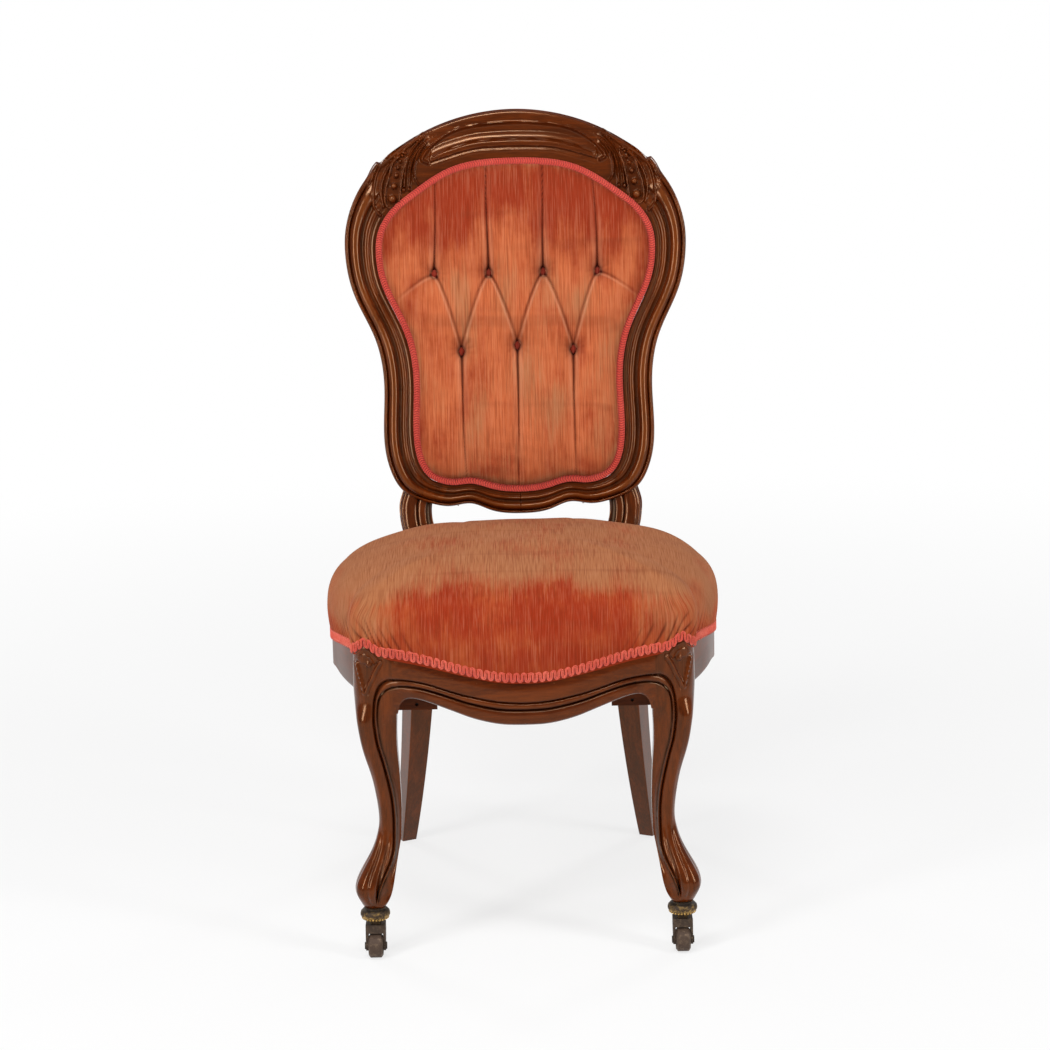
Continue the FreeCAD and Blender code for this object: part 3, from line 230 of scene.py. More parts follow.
def make_mesh(
    name: str,
    points: Array,
    wrap_rows: bool = False,
    wrap_cols: bool = False,
    caps: bool = False,
    marks: Optional[Dict[str, Array]] = None,
    sharp: float = 40.0,
) -> bpy.types.Object:
    """A mesh object from a grid of points in mm.

    Args:
        name: The object's name.
        points: Array of rows, columns and three coordinates.
        wrap_rows: The last row joins the first.
        wrap_cols: The last column joins the first.
        caps: Both end rows are closed by a fan about their middle.
        marks: Named values per point, kept as float attributes.
        sharp: Edges bent by more than this many degrees stay crisp.

    Returns:
        The new object, linked to the scene, faces outwards.
    """
    rows, cols = points.shape[:2]
    flat = points.reshape(-1, 3)
    quads = grid_faces(rows, cols, wrap_rows, wrap_cols)
    fans: List[Array] = []
    extra = {key: value.reshape(-1) for key, value in (marks or {}).items()}
    if caps:
        ring = np.arange(cols)
        for row, centre in ((0, len(flat)), (rows - 1, len(flat) + 1)):
            base = row * cols
            fans.append(np.stack([np.full(cols, centre), base + ring, base + (ring + 1) % cols], axis=-1))
        flat = np.concatenate([flat, points[0].mean(0)[None], points[-1].mean(0)[None]])
        ends = (0, -1)
        extra = {
            key: np.concatenate([value, [value.reshape(rows, cols)[e].mean() for e in ends]])
            for key, value in extra.items()
        }
    mesh = bpy.data.meshes.new(name)
    tris = np.concatenate(fans) if fans else np.zeros((0, 3), dtype=int)
    mesh.from_pydata((flat * 0.001).tolist(), [], quads.tolist() + tris.tolist())
    for key, value in extra.items():
        layer = mesh.attributes.new(key, "FLOAT", "POINT")
        layer.data.foreach_set("value", value.astype(np.float32))
    piece = bpy.data.objects.new(name, mesh)
    bpy.context.scene.collection.objects.link(piece)
    tidy_mesh(piece, sharp)
    return piece


def tidy_mesh(piece: bpy.types.Object, sharp: float) -> None:
    """Merges doubles, points the faces outwards and smooths all but the crisp edges."""
    work = bmesh.new()
    work.from_mesh(piece.data)
    bmesh.ops.remove_doubles(work, verts=work.verts, dist=1e-6)
    bmesh.ops.recalc_face_normals(work, faces=work.faces)
    work.to_mesh(piece.data)
    work.free()
    piece.data.polygons.foreach_set("use_smooth", [True] * len(piece.data.polygons))
    piece.data.set_sharp_from_angle(angle=math.radians(sharp))


def join_pieces(name: str, parts: List[bpy.types.Object]) -> bpy.types.Object:
    """Several objects as one mesh, with their attributes and materials kept."""
    for item in bpy.context.view_layer.objects:
        item.select_set(False)
    for item in parts:
        item.select_set(True)
    bpy.context.view_layer.objects.active = parts[0]
    bpy.ops.object.join()
    parts[0].name = name
    parts[0].data.name = name
    return parts[0]


def tube(name: str, path: Array, radius: Array, sides: int = 8, closed: bool = False) -> bpy.types.Object:
    """A round rod along a path: each ring stands square to the path, turned as little as possible.

    Args:
        name: The object's name.
        path: Points in mm.
        radius: One radius per point, in mm.
        sides: Points round the rod.
        closed: The path joins itself.

    Returns:
        The rod as a mesh object.
    """
    way = np.gradient(path, axis=0)
    if closed:
        way = np.roll(path, -1, axis=0) - np.roll(path, 1, axis=0)
    way /= np.linalg.norm(way, axis=1, keepdims=True)
    helper = np.where(np.abs(way[:, 1:2]) > 0.9, [[1.0, 0.0, 0.0]], [[0.0, 1.0, 0.0]])
    first = np.cross(way, helper)
    first /= np.linalg.norm(first, axis=1, keepdims=True)
    second = np.cross(way, first)
    angle = np.linspace(0.0, 2.0 * math.pi, sides, endpoint=False)
    ring = np.cos(angle)[None, :, None] * first[:, None] + np.sin(angle)[None, :, None] * second[:, None]
    grid = path[:, None] + ring * np.broadcast_to(radius, len(path))[:, None, None]
    return make_mesh(name, grid, wrap_rows=closed, wrap_cols=True, caps=not closed, sharp=60.0)


# Shader expressions

class Signal:
    """A shader socket that can be used in sums, differences and products."""

    def __init__(self, graph: "Graph", socket: bpy.types.NodeSocket) -> None:
        """Keeps the graph and the socket."""
        self.graph = graph
        self.socket = socket

    def __add__(self, other: Any) -> "Signal":
        """Sum."""
        return self.graph.math("ADD", self, other)

    __radd__ = __add__

    def __mul__(self, other: Any) -> "Signal":
        """Product."""
        return self.graph.math("MULTIPLY", self, other)

    __rmul__ = __mul__

    def __sub__(self, other: Any) -> "Signal":
        """Difference."""
        return self.graph.math("SUBTRACT", self, other)

    def __rsub__(self, other: Any) -> "Signal":
        """Reflected difference."""
        return self.graph.math("SUBTRACT", other, self)


class Graph:
    """One material's node tree, with a Principled shader at its end."""

    def __init__(self, name: str) -> None:
        """Makes the material and its shader."""
        self.material = bpy.data.materials.new(name)
        self.material.use_nodes = True
        self.tree = self.material.node_tree
        self.tree.nodes.clear()
        self.shader = self.tree.nodes.new("ShaderNodeBsdfPrincipled")
        self.output = self.tree.nodes.new("ShaderNodeOutputMaterial")
        self.tree.links.new(self.shader.outputs[0], self.output.inputs[0])

    def feed(self, socket: bpy.types.NodeSocket, value: Any) -> None:
        """Links a signal to a socket, or sets the socket's own value."""
        if isinstance(value, Signal):
            self.tree.links.new(value.socket, socket)
        elif socket.type == "RGBA" and len(value) == 3:
            socket.default_value = (*value, 1.0)
        else:
            socket.default_value = value

    def node(
        self,
        kind: str,
        settings: Optional[Dict[str, Any]] = None,
        inputs: Optional[Dict[Any, Any]] = None,
        out: Any = 0,
    ) -> Signal:
        """Adds a node.

        Args:
            kind: The node's type after "ShaderNode".
            settings: Properties, or "stops" of a ramp, set before the sockets.
            inputs: Values or signals by socket name or place.
            out: The output to hand back.

        Returns:
            The chosen output as a signal.
        """
        made = self.tree.nodes.new("ShaderNode" + kind)
        for key, value in (settings or {}).items():
            if key == "stops":
                ramp = made.color_ramp
                while len(ramp.elements) < len(value):
                    ramp.elements.new(0.5)
                for element, (place, colour) in zip(ramp.elements, value):
                    element.position = place
                    element.color = (*colour, 1.0)
            else:
                setattr(made, key, value)
        for key, value in (inputs or {}).items():
            self.feed(made.inputs[key], value)
        return Signal(self, made.outputs[out])

    def math(self, operation: str, a: Any, b: Any = 0.0, clamp: bool = False) -> Signal:
        """A Math node on numbers or signals."""
        return self.node("Math", {"operation": operation, "use_clamp": clamp}, {0: a, 1: b})

    def band(self, value: Signal, low: float, high: float) -> Signal:
        """A smooth step of a signal between two values."""
        return self.node("MapRange", {"interpolation_type": "SMOOTHSTEP"}, {0: value, 1: low, 2: high})

    def mix(self, a: Any, b: Any, share: Any) -> Signal:
        """A colour between two colours."""
        return self.node("Mix", {"data_type": "RGBA"}, {0: share, 6: a, 7: b}, out=2)

    def mark(self, name: str) -> Signal:
        """A named value kept on the mesh."""
        return self.node("Attribute", {"attribute_name": name}, out="Fac")

    def place(self, scale: Sequence[float] = (1.0, 1.0, 1.0), turn: Sequence[float] = (0.0, 0.0, 0.0)) -> Signal:
        """The piece's own coordinates, stretched and turned."""
        coords = self.node("TexCoord", out="Object")
        return self.node("Mapping", None, {"Vector": coords, "Scale": scale, "Rotation": turn})

    def noise(self, where: Signal, scale: float, detail: float = 3.0, rough: float = 0.55, bend: float = 0.0) -> Signal:
        """Cloudy noise."""
        return self.node("TexNoise", None, {
            "Vector": where, "Scale": scale, "Detail": detail, "Roughness": rough, "Distortion": bend})

    def seen_directly(self) -> Signal:
        """One for the camera's rays and for mirrored and refracted ones, otherwise nought."""
        eye, glossy, through = (
            self.node("LightPath", out="Is %s Ray" % kind) for kind in ("Camera", "Glossy", "Transmission"))
        return self.math("MAXIMUM", self.math("MAXIMUM", eye, glossy), through)

    def bump(self, height: Signal, strength: float, distance: float) -> Signal:
        """A height turned into a normal."""
        return self.node("Bump", None, {"Strength": strength, "Distance": distance, "Height": height})

    def finish(self, **values: Any) -> bpy.types.Material:
        """Sets the shader's sockets, with underscores for the spaces in their names."""
        for key, value in values.items():
            self.feed(self.shader.inputs[key.replace("_", " ")], value)
        return self.material


@dataclass(frozen=True)
class Mahogany:
    """Polished red-brown wood with painted shade in its hollows and rubbed edges."""

    name: str
    grain: Grain = Grain.UPRIGHT
    dark: Colour = (0.0060, 0.0014, 0.0005)
    body: Colour = (0.034, 0.0050, 0.0006)
    warm: Colour = (0.125, 0.0210, 0.0020)
    carved: bool = True
    gloss: float = 0.125
    shine: float = 0.5

    def material(self) -> bpy.types.Material:
        """Grain stretched along the wood, painted shade in the hollows from the carving's own mark, small nicks."""
        g = Graph(self.name)
        where = g.place(self.grain.value)
        broad = g.noise(where, 5.0, 4.0, 0.6, 0.8)
        fine = g.noise(where, 42.0, 4.0, 0.65, 0.3)
        pores = g.noise(g.place([v * 3.0 for v in self.grain.value]), 60.0, 2.0, 0.7)
        cloud = g.noise(g.place(), 9.0, 3.0, 0.5)
        tone = g.band(broad * 0.65 + fine * 0.35, 0.36, 0.68)
        colour = g.mix(self.body, self.warm, tone * 0.75 + cloud * 0.25)
        colour = g.mix(colour, self.dark, g.band(pores, 0.60, 0.78) * 0.55)
        rough = self.gloss + g.band(cloud, 0.35, 0.75) * 0.12
        if self.carved:
            # Painted shade: the hollow mark darkens grooves and recesses towards the dark colour.
            hollow = g.mark("hollow")
            painted_shade = g.math("MULTIPLY", hollow, 0.94 + cloud * 0.3, clamp=True)
            colour = g.mix(colour, self.dark, painted_shade)
            rubbed = g.band(g.mark("crest") * (0.55 + fine * 0.9), 0.60, 1.0)
            colour = g.mix(colour, (0.21, 0.052, 0.0095), rubbed * 0.34)
            rough = rough + hollow * 0.26
        nicks = g.band(g.noise(g.place(), 240.0, 2.0, 0.5), 0.73, 0.79)
        colour = g.mix(colour, (0.26, 0.11, 0.045), nicks * 0.35)
        normal = g.bump(fine * 0.5 + pores * 0.3 + cloud * 0.8, 0.10, 0.0012)
        return g.finish(Base_Color=colour, Roughness=rough, Normal=normal, Specular_IOR_Level=self.shine,
                        Specular_Tint=(1.0, 0.54, 0.27, 1.0), Coat_Weight=0.09, Coat_Roughness=0.05)


@dataclass(frozen=True)
class Velvet:
    """Ribbed velvet: streaks along the pile's lay, rust red where fresh and tan where worn; the lit mark paints light
    and shade over it, the fold mark painted shade and the bright share painted highlights.
    """

    name: str
    streak: Tuple[float, float, float] = (1.0, 0.05, 0.05)
    fresh: Colour = (0.25, 0.0240, 0.0060)
    lit: Colour = (0.47, 0.112, 0.039)
    worn: Colour = (0.34, 0.136, 0.058)
    # The colour of the painted shade in folds.
    fold: Colour = (0.050, 0.008, 0.004)
    line: Colour = (0.150, 0.030, 0.012)
    bright: Colour = (0.66, 0.33, 0.19)
    draped: bool = False

    def lay(self, g: Graph, scale: Sequence[float]) -> Signal:
        """The cloth's own place: across and along its threads where it is draped over a dome."""
        if not self.draped:
            return g.place(scale)
        own = g.node("CombineXYZ", {}, {0: g.mark("across"), 1: g.mark("along")}, out="Vector")
        return g.node("VectorMath", {"operation": "MULTIPLY"}, {0: own, 1: tuple(scale)}, out="Vector")

    def material(self) -> bpy.types.Material:
        """Mixes three tones by the piece's marks and by streaked noise, with a soft sheen."""
        g = Graph(self.name)
        where = self.lay(g, self.streak)
        thread = g.noise(self.lay(g, [v * 0.5 if v < 1.0 else v for v in self.streak]), 820.0, 2.0, 0.65)
        streaks = g.noise(where, 300.0, 4.0, 0.7)
        bands = g.noise(where, 34.0, 3.0, 0.6)
        patch = g.noise(g.place((1.0, 0.6, 0.6)), 24.0, 5.0, 0.62)
        pile = g.noise(g.place(), 1500.0, 2.0, 0.6)
        # Painted light and shade: the lit mark moves the colour from the fresh tone to the lit one.
        tone = g.mark("lit") * 0.9 + (streaks - 0.5) * 0.62 + (bands - 0.5) * 0.55 + (patch - 0.5) * 1.6
        tone = g.band(tone, 0.06, 0.88)
        colour = g.mix(self.fresh, self.lit, tone)
        wear = g.band(g.mark("worn") + (streaks - 0.5) * 0.9 + (patch - 0.5) * 0.7, 0.28, 0.95)
        colour = g.mix(colour, self.worn, wear * 0.88)
        colour = g.mix(colour, self.line, g.band(thread, 0.46, 0.70) * 0.46)
        colour = g.mix(colour, self.bright, g.band(thread, 0.54, 0.32) * 0.13)
        weft = g.noise(self.lay(g, [0.06 / v for v in self.streak]), 24.0, 2.0, 0.6)
        colour = g.mix(colour, self.line, g.band(weft, 0.54, 0.74) * 0.26)
        rub = g.math("MULTIPLY", g.mark("rub"), 0.8 + (streaks - 0.5) * 0.8, clamp=True)
        # Painted highlight on the ridges beside the folds, by the rub mark.
        colour = g.mix(colour, self.bright, rub)
        # Painted shade in creases, pits and tucks, by the fold mark.
        colour = g.mix(colour, self.fold, g.math("MULTIPLY", g.mark("fold"), 1.0, clamp=True))
        normal = g.bump(thread * 0.6 + streaks * 0.7 + pile * 0.5, 0.35, 0.0010)
        return g.finish(Base_Color=colour, Roughness=0.92, Normal=normal, Sheen_Weight=0.05,
                        Sheen_Roughness=0.45, Sheen_Tint=(1.0, 0.62, 0.45, 1.0), Specular_IOR_Level=0.08)


@dataclass(frozen=True)
class Braid:
    """Coral upholstery braid of twisted rayon cord."""

    name: str
    body: Colour = (0.60, 0.070, 0.040)
    deep: Colour = (0.17, 0.010, 0.008)
    lustre: Colour = (0.86, 0.210, 0.130)

    def material(self) -> bpy.types.Material:
        """Cord colour with painted shade between the loops, by the braid's own mark."""
        g = Graph(self.name)
        ply = g.noise(g.place(), 900.0, 2.0, 0.5)
        cloud = g.noise(g.place(), 30.0, 2.0, 0.5)
        colour = g.mix(self.body, self.lustre, g.band(ply + (cloud - 0.5) * 0.5, 0.42, 0.74) * 0.6)
        # Painted shade: the hollow mark darkens the gaps between the cords.
        colour = g.mix(colour, self.deep, g.math("MULTIPLY", g.mark("hollow"), 0.9, clamp=True))
        normal = g.bump(ply, 0.5, 0.0006)
        return g.finish(Base_Color=colour, Roughness=0.62, Normal=normal, Sheen_Weight=0.25,
                        Sheen_Tint=(1.0, 0.6, 0.5, 1.0), Specular_IOR_Level=0.3)


@dataclass(frozen=True)
class Metal:
    """Old furniture metal: patina in the hollows, rubbed bright on what stands out."""

    name: str
    patina: Colour
    bright: Colour
    shine: float = 0.36
    wear: float = 0.5

    def material(self) -> bpy.types.Material:
        """Patina and bright metal mixed by blotches and by the mesh's crest mark."""
        g = Graph(self.name)
        blotch = g.noise(g.place(), 190.0, 4.0, 0.65)
        grit = g.noise(g.place(), 900.0, 3.0, 0.6)
        rub = g.band(blotch * 0.8 + grit * 0.3 + g.mark("crest") * self.wear, 0.50, 0.85)
        colour = g.mix(self.patina, self.bright, rub)
        colour = g.mix(colour, (0.012, 0.009, 0.007), g.mark("hollow") * 0.8)
        rough = 0.62 - rub * (0.62 - self.shine)
        normal = g.bump(grit * 0.6 + blotch, 0.30, 0.0007)
        return g.finish(Base_Color=colour, Roughness=rough, Normal=normal, Metallic=0.45 + rub * 0.5)


@dataclass(frozen=True)
class Woven:
    """Plain woven jute or hessian."""

    name: str
    body: Colour = (0.34, 0.235, 0.125)
    dark: Colour = (0.15, 0.095, 0.050)
    pitch: float = 1.6

    def material(self) -> bpy.types.Material:
        """Two sets of threads from sine waves along X and Y, with slubs."""
        g = Graph(self.name)
        coords = g.place()
        along, across = (g.node("SeparateXYZ", None, {0: coords}, out=axis) for axis in "XY")
        turns = 2.0 * math.pi * 1000.0 / self.pitch
        warp, weft = g.math("SINE", along * turns), g.math("SINE", across * turns)
        slub = g.noise(g.place((1.0, 0.2, 1.0)), 320.0, 3.0, 0.6)
        weave = warp * weft * 0.25 + 0.5
        colour = g.mix(self.dark, self.body, g.math("MULTIPLY", weave + slub * 0.7, 0.9, clamp=True))
        return g.finish(Base_Color=colour, Roughness=0.9, Normal=g.bump(weave + slub, 0.5, 0.0006))


@dataclass(frozen=True)
class PlainWood:
    """Unpolished beech or birch of the hidden parts."""

    name: str
    grain: Grain = Grain.ACROSS
    body: Colour = (0.36, 0.215, 0.105)
    dark: Colour = (0.17, 0.09, 0.042)

    def material(self) -> bpy.types.Material:
        """Dull wood with stretched grain and grime."""
        g = Graph(self.name)
        lines = g.noise(g.place(self.grain.value), 30.0, 4.0, 0.6, 0.4)
        grime = g.noise(g.place(), 16.0, 3.0, 0.6)
        colour = g.mix(self.body, self.dark, g.band(lines * 0.6 + grime * 0.5, 0.42, 0.72))
        return g.finish(Base_Color=colour, Roughness=0.72, Normal=g.bump(lines, 0.25, 0.0008))


def dress(piece: bpy.types.Object, finish: Any) -> None:
    """Gives a piece one finish."""
    piece.data.materials.clear()
    piece.data.materials.append(finish.material())


def settle(piece: bpy.types.Object, finish: Any, node: str, body: str = "chair") -> bpy.types.Object:
    """Dresses a piece, rides it on its body and lets it stand for its CAD node.

    Args:
        piece: The new piece.
        finish: Its finish.
        node: The CAD node that it stands for.
        body: The body that carries it.

    Returns:
        The same piece.
    """
    dress(piece, finish)
    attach(piece, body)
    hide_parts(node)
    LOG.info("%-24s %7d faces", piece.name, len(piece.data.polygons))
    return piece


def keep(node: str, finish: Any) -> None:
    """A CAD node whose shape is right gets its finish."""
    piece = frame["nodes"][node]
    dress(piece, finish)
    LOG.info("%-24s kept", node)


# The chair's back

@dataclass
class BackPlane:
    """The plane of the back: x across, depth behind its face, w up its slope."""

    rake: float = 12.0
    base_y: float = 126.0
    base_z: float = 471.0

    def lift(self, x: Array, depth: Array, w: Array) -> Array:
        """Turns by the rake about X and moves to the base: back-plane values to the chair's frame."""
        a = math.radians(self.rake)
        x, depth, w = np.broadcast_arrays(x, depth, w)
        y = self.base_y + w * math.sin(a) + depth * math.cos(a)
        z = self.base_z + w * math.cos(a) - depth * math.sin(a)
        return np.stack([x, y, z], axis=-1)


@dataclass
class BalloonRing:
    """The moulded wooden ring: pairs of outer and inner points, top centre to bottom centre."""

    plane: BackPlane = field(default_factory=BackPlane)
    depth: float = 28.0
    crest_joint: float = 3.6
    foot_joint: float = 13.5
    rows: Tuple[Tuple[Tuple[float, float], Tuple[float, float]], ...] = (
        ((0, 532), (0, 468)), ((90, 516), (84, 456.5)), ((150, 485), (133, 427)),
        ((186, 454), (160, 405.5)), ((208, 422), (174.5, 386)), ((222, 378), (182, 364)),
        ((223, 345), (183, 345)), ((214, 297), (177, 307)), ((186, 234), (148, 241)),
        ((175.5, 175), (137, 180)), ((177, 110), (138.5, 112)), ((169, 61), (131, 68)),
        ((152, 33.5), (119, 51.5)), ((119, 18), (102, 43)), ((92, 13.5), (84, 40.6)),
        ((67, 16.5), (64, 42)), ((40, 7.5), (38, 35)), ((0, 2.3), (0, 30.4)),
    )
    # Carving of the crest, on the plane, for the half with positive x.
    lip: Points = ((0, 514.5), (21, 514), (54, 510.5), (73, 506), (90, 498), (106, 486.5), (117, 474), (119.5, 467),
                   (113, 463))
    bar_high: Points = ((0, 494), (13, 494), (51, 491.5), (87, 482), (107, 473.5))
    bar_low: Points = ((0, 482.8), (13, 482.8), (51, 481), (87, 471.5), (111, 464))
    fronds: Tuple[Points, ...] = (
        ((70, 509), (98, 501), (119, 483.5), (129, 464), (130, 445), (125, 435)),
        ((89, 507), (112, 493), (128, 475.5), (135.5, 455), (136.5, 429)),
        ((106, 506), (126, 488.5), (138.5, 467.5), (142.5, 448), (144, 430)),
        ((118, 503), (137, 487), (147, 474)),
        ((129, 492), (149, 476), (164, 458), (172, 440.5), (174.5, 423), (171.5, 407)),
        ((120, 509), (155, 483), (176, 457), (183.5, 433), (184, 408), (176, 396)),
        ((178.5, 462), (187.5, 441), (196, 422), (201, 402), (203, 384)),
    )
    pearls: Tuple[Tuple[float, float, float], ...] = (
        (145.5, 473.4, 1.8), (148.6, 466.1, 2.2), (151.5, 458.0, 2.9), (154.2, 447.5, 3.6),
        (157.3, 433.7, 4.4), (160.0, 416.9, 5.6), (144.6, 428.2, 2.6), (137.6, 429.0, 2.3),
    )
    pod: Points = ((141, 477), (157, 465), (164, 445), (169, 426), (168.8, 411), (162.5, 404.8), (153.4, 409.3),
                   (150, 419), (148, 435), (144.3, 454.6), (139, 472))

    def __post_init__(self) -> None:
        """Works out both outlines over the running length of the member."""
        rows = np.array(self.rows, dtype=float)
        steps = np.linalg.norm(np.diff(rows, axis=0), axis=2).mean(axis=1)
        self.knots = np.concatenate([[0.0], np.cumsum(steps)])
        ends = (np.array([1.0, 0.0]), np.array([-1.0, 0.0]))
        self.outer = SmoothCurve(self.knots, rows[:, 0], *ends)
        self.inner = SmoothCurve(self.knots, rows[:, 1], *ends)
        self.last = float(len(rows) - 1)

    def knot(self, place: Array) -> Array:
        """Running length at a place counted in rows."""
        return np.interp(np.abs(place), np.arange(len(self.knots)), self.knots)

    def edges(self, place: Array) -> Tuple[Array, Array]:
        """Outer and inner points at places; negative places lie on the left."""
        sign = np.where(place < 0.0, -1.0, 1.0)
        outer, inner = self.outer.at(self.knot(place)), self.inner.at(self.knot(place))
        outer[..., 0] *= sign
        inner[..., 0] *= sign
        return outer, inner

    def inner_loop(self, count: int, inset: Array) -> Tuple[Array, Array]:
        """The inner outline all round, drawn in along its normal, with its running length."""
        total = self.knots[-1]
        run = np.linspace(0.0, 2.0 * total, count, endpoint=False)
        fold = np.where(run > total, 2.0 * total - run, run)
        sign = np.where(run > total, -1.0, 1.0)[:, None]
        here = self.inner.at(fold)
        ahead = self.inner.at(fold + 0.5) - self.inner.at(fold - 0.5)
        ahead /= np.maximum(np.linalg.norm(ahead, axis=1, keepdims=True), 1e-9)
        normal = np.stack([ahead[:, 1], -ahead[:, 0]], axis=1)
        inset = np.asarray(inset, dtype=float)
        points = here[:, None] + normal[:, None] * inset[None, :, None]
        points[..., 0] *= sign
        step = np.linalg.norm(np.roll(points[:, 0], -1, axis=0) - points[:, 0], axis=1)
        return points, np.concatenate([[0.0], np.cumsum(step)[:-1]])

    def moulding(self, share: Array) -> Array:
        """Height of the plain moulding over the face plane, by the share from outside to inside.

        The outer roll, main ridge, second ridge and inner bead are half rounds on a stepped floor.
        """
        floor = -6.0 - 1.4 * ease(share, 0.45, 0.6)
        roll = -5.4 + 4.2 * dome(share - 0.066, 0.074)
        ridge = -6.6 + 9.0 * dome(share - 0.335, 0.19)
        second = -7.6 + 5.4 * dome(share - 0.700, 0.115)
        bead = -7.4 + 2.6 * dome(share - 0.915, 0.075)
        return np.maximum.reduce([floor, roll, ridge, second, bead])

    def carving(self, x: Array, w: Array, share: Array, width: Array) -> Array:
        """Height of the carved crest.

        A smooth outer band steps down into a recess that holds two bars; fronds, pearls and the
        pod stand on a low ground to the side of it.
        """
        x = np.abs(x)
        lip = smooth_path(self.lip)
        lip_x = np.array([p[0] for p in lip[:-12]])
        lip_w = np.interp(x, lip_x, np.array([p[1] for p in lip[:-12]]))
        from_outer = share * width
        from_inner = (1.0 - share) * width
        band = -0.6 + 1.2 * bell(from_outer - 9.0, 7.0) - 4.4 * (1.0 - ease(from_outer, 0.0, 4.5))
        recess = -4.6 + 0.9 * bell(w - 503.0, 6.0)
        inside = ease(lip_w - w, -0.6, 1.8) * ease(120.5 - x, 0.0, 3.0)
        height = band * (1.0 - inside) + recess * inside
        ground = -6.6 - 0.6 * ease(from_inner, 14.0, 4.0)
        side = ease(x, 108.0, 122.0) * ease(from_outer, 4.0, 12.0)
        height = height * (1.0 - side) + ground * side
        to_high = path_side(x, w, smooth_path(self.bar_high, 10))
        to_low = path_side(x, w, smooth_path(self.bar_low, 10))
        cove = -1.4 - 4.4 * ease(to_high, 0.0, 15.0) - 1.2 * bell(lip_w - w, 2.2)
        middle = (to_high + to_low) / np.maximum(to_low - to_high, 1e-3)
        strip = -3.0 + 2.2 * dome(middle, 1.3) - 2.2 * bell(to_high + 1.9, 1.4)
        low = -3.4 - 1.6 * bell(to_low + 1.4, 1.4) - 1.6 * ease(-to_low, 4.0, 12.0)
        steps = np.where(to_high > 0.0, cove, np.where(to_low > 0.0, strip, low))
        within = inside * ease(112.0 - x, 0.0, 5.0)
        height = height * (1.0 - within) + steps * within
        height = np.maximum(height, -4.2 + 5.2 * bell(path_distance(x, w, lip), 2.1))
        end = np.hypot(x - 107.0, w - 469.5)
        height = np.maximum(height, -4.2 + 3.4 * dome(end, 4.4))
        for i, path in enumerate(self.fronds):
            gap = path_distance(x, w, smooth_path(path))
            height = np.maximum(height, -6.6 + (7.4 - 0.2 * i) * bell(gap, 2.0 if i < 4 else 2.5))
        pod = smooth_path(self.pod)
        height = np.maximum(height, -4.6 + 4.6 * dome(path_distance(x, w, pod), 1.7))
        for px, pw, radius in self.pearls:
            gap = np.hypot(x - px, w - pw)
            height = np.where(gap < radius + 1.0, np.minimum(height, -4.2), height)
            height = np.maximum(height, -5.4 + (3.2 + radius * 1.2) * dome(gap, radius + 0.5))
        bead = -6.8 + 2.4 * dome(from_inner - 2.6, 2.4)
        return np.maximum(height, np.where(from_inner < 5.2, bead, -9.0))

    def face(self, place: Array, share: Array, x: Array, w: Array, width: Array) -> Array:
        """Height of the whole face: the carving fades into the plain moulding down the sides."""
        plain = self.moulding(share)
        near = np.abs(place) < 4.6
        if not near.any():
            return plain
        fade = ease(np.abs(place), 2.75, 3.9)
        carved = self.carving(x, w, share, width)
        mixed = carved * (1.0 - fade) + plain * fade
        for path in self.fronds[4:]:
            gap = path_distance(np.abs(x), w, smooth_path(path))
            mixed = np.maximum(mixed, np.where(gap < 6.0, -6.6 + 6.6 * bell(gap, 2.5), -20.0))
        return np.where(near, mixed, plain)

    def member(self, name: str, start: float, end: float, rows: int, front: int) -> bpy.types.Object:
        """One member of the ring between two places, as a closed loft with a carved face.

        Args:
            name: Name of the piece.
            start: First place.
            end: Last place.
            rows: Sections along the member.
            front: Points across the face.

        Returns:
            The member as a mesh object.
        """
        place = np.linspace(start, end, rows)
        outer, inner = self.edges(place)
        ear = np.abs(place)
        reach = 4.6 * np.where(ear < 2.78, ease(ear, 2.66, 2.78), ease(3.35 - ear, 0.0, 0.57))
        reach = np.where((ear > 2.6) & (ear < 3.4), reach, 0.0)
        out_way = outer - inner
        width = np.linalg.norm(out_way, axis=1)
        out_way /= width[:, None]
        outer = outer + out_way * reach[:, None]
        share = np.linspace(0.0, 1.0, front)
        flat = outer[:, None] + (inner - outer)[:, None] * share[None, :, None]
        x, w = flat[..., 0], flat[..., 1]
        s = np.broadcast_to(share, x.shape)
        wide = np.broadcast_to((width + reach)[:, None], x.shape)
        height = self.face(place[:, None] + 0.0 * x, s, x, w, wide)
        # Painted shade: the deeper the carving or moulding lies, the darker it is painted.
        hollow = ease(-height, 3.8, 7.4) * 0.92
        crest = ease(height, -1.0, 2.6)
        depth = -height
        back = self.depth
        wall_in = np.stack([depth[:, -1] + (back - 1.0 - depth[:, -1]) * t for t in (0.35, 0.7, 1.0)], axis=1)
        wall_out = np.stack([depth[:, 0] + (back - 1.0 - depth[:, 0]) * t for t in (1.0, 0.7, 0.35)], axis=1)
        across = np.array([0.975, 0.75, 0.5, 0.25, 0.025])
        rear = outer[:, None] + (inner - outer)[:, None] * across[None, :, None]
        rear_depth = np.full(rear.shape[:2], back)
        xs = np.concatenate([x, np.repeat(inner[:, :1], 3, 1), rear[..., 0], np.repeat(outer[:, :1], 3, 1)], axis=1)
        ws = np.concatenate([w, np.repeat(inner[:, 1:], 3, 1), rear[..., 1], np.repeat(outer[:, 1:], 3, 1)], axis=1)
        ts = np.concatenate([depth, wall_in, rear_depth, wall_out], axis=1)
        pad = np.zeros((rows, ts.shape[1] - front))
        marks = {"hollow": np.concatenate([hollow, pad], axis=1), "crest": np.concatenate([crest, pad], axis=1)}
        return make_mesh(name, self.plane.lift(xs, ts, ws), wrap_cols=True, caps=True, marks=marks, sharp=50.0)

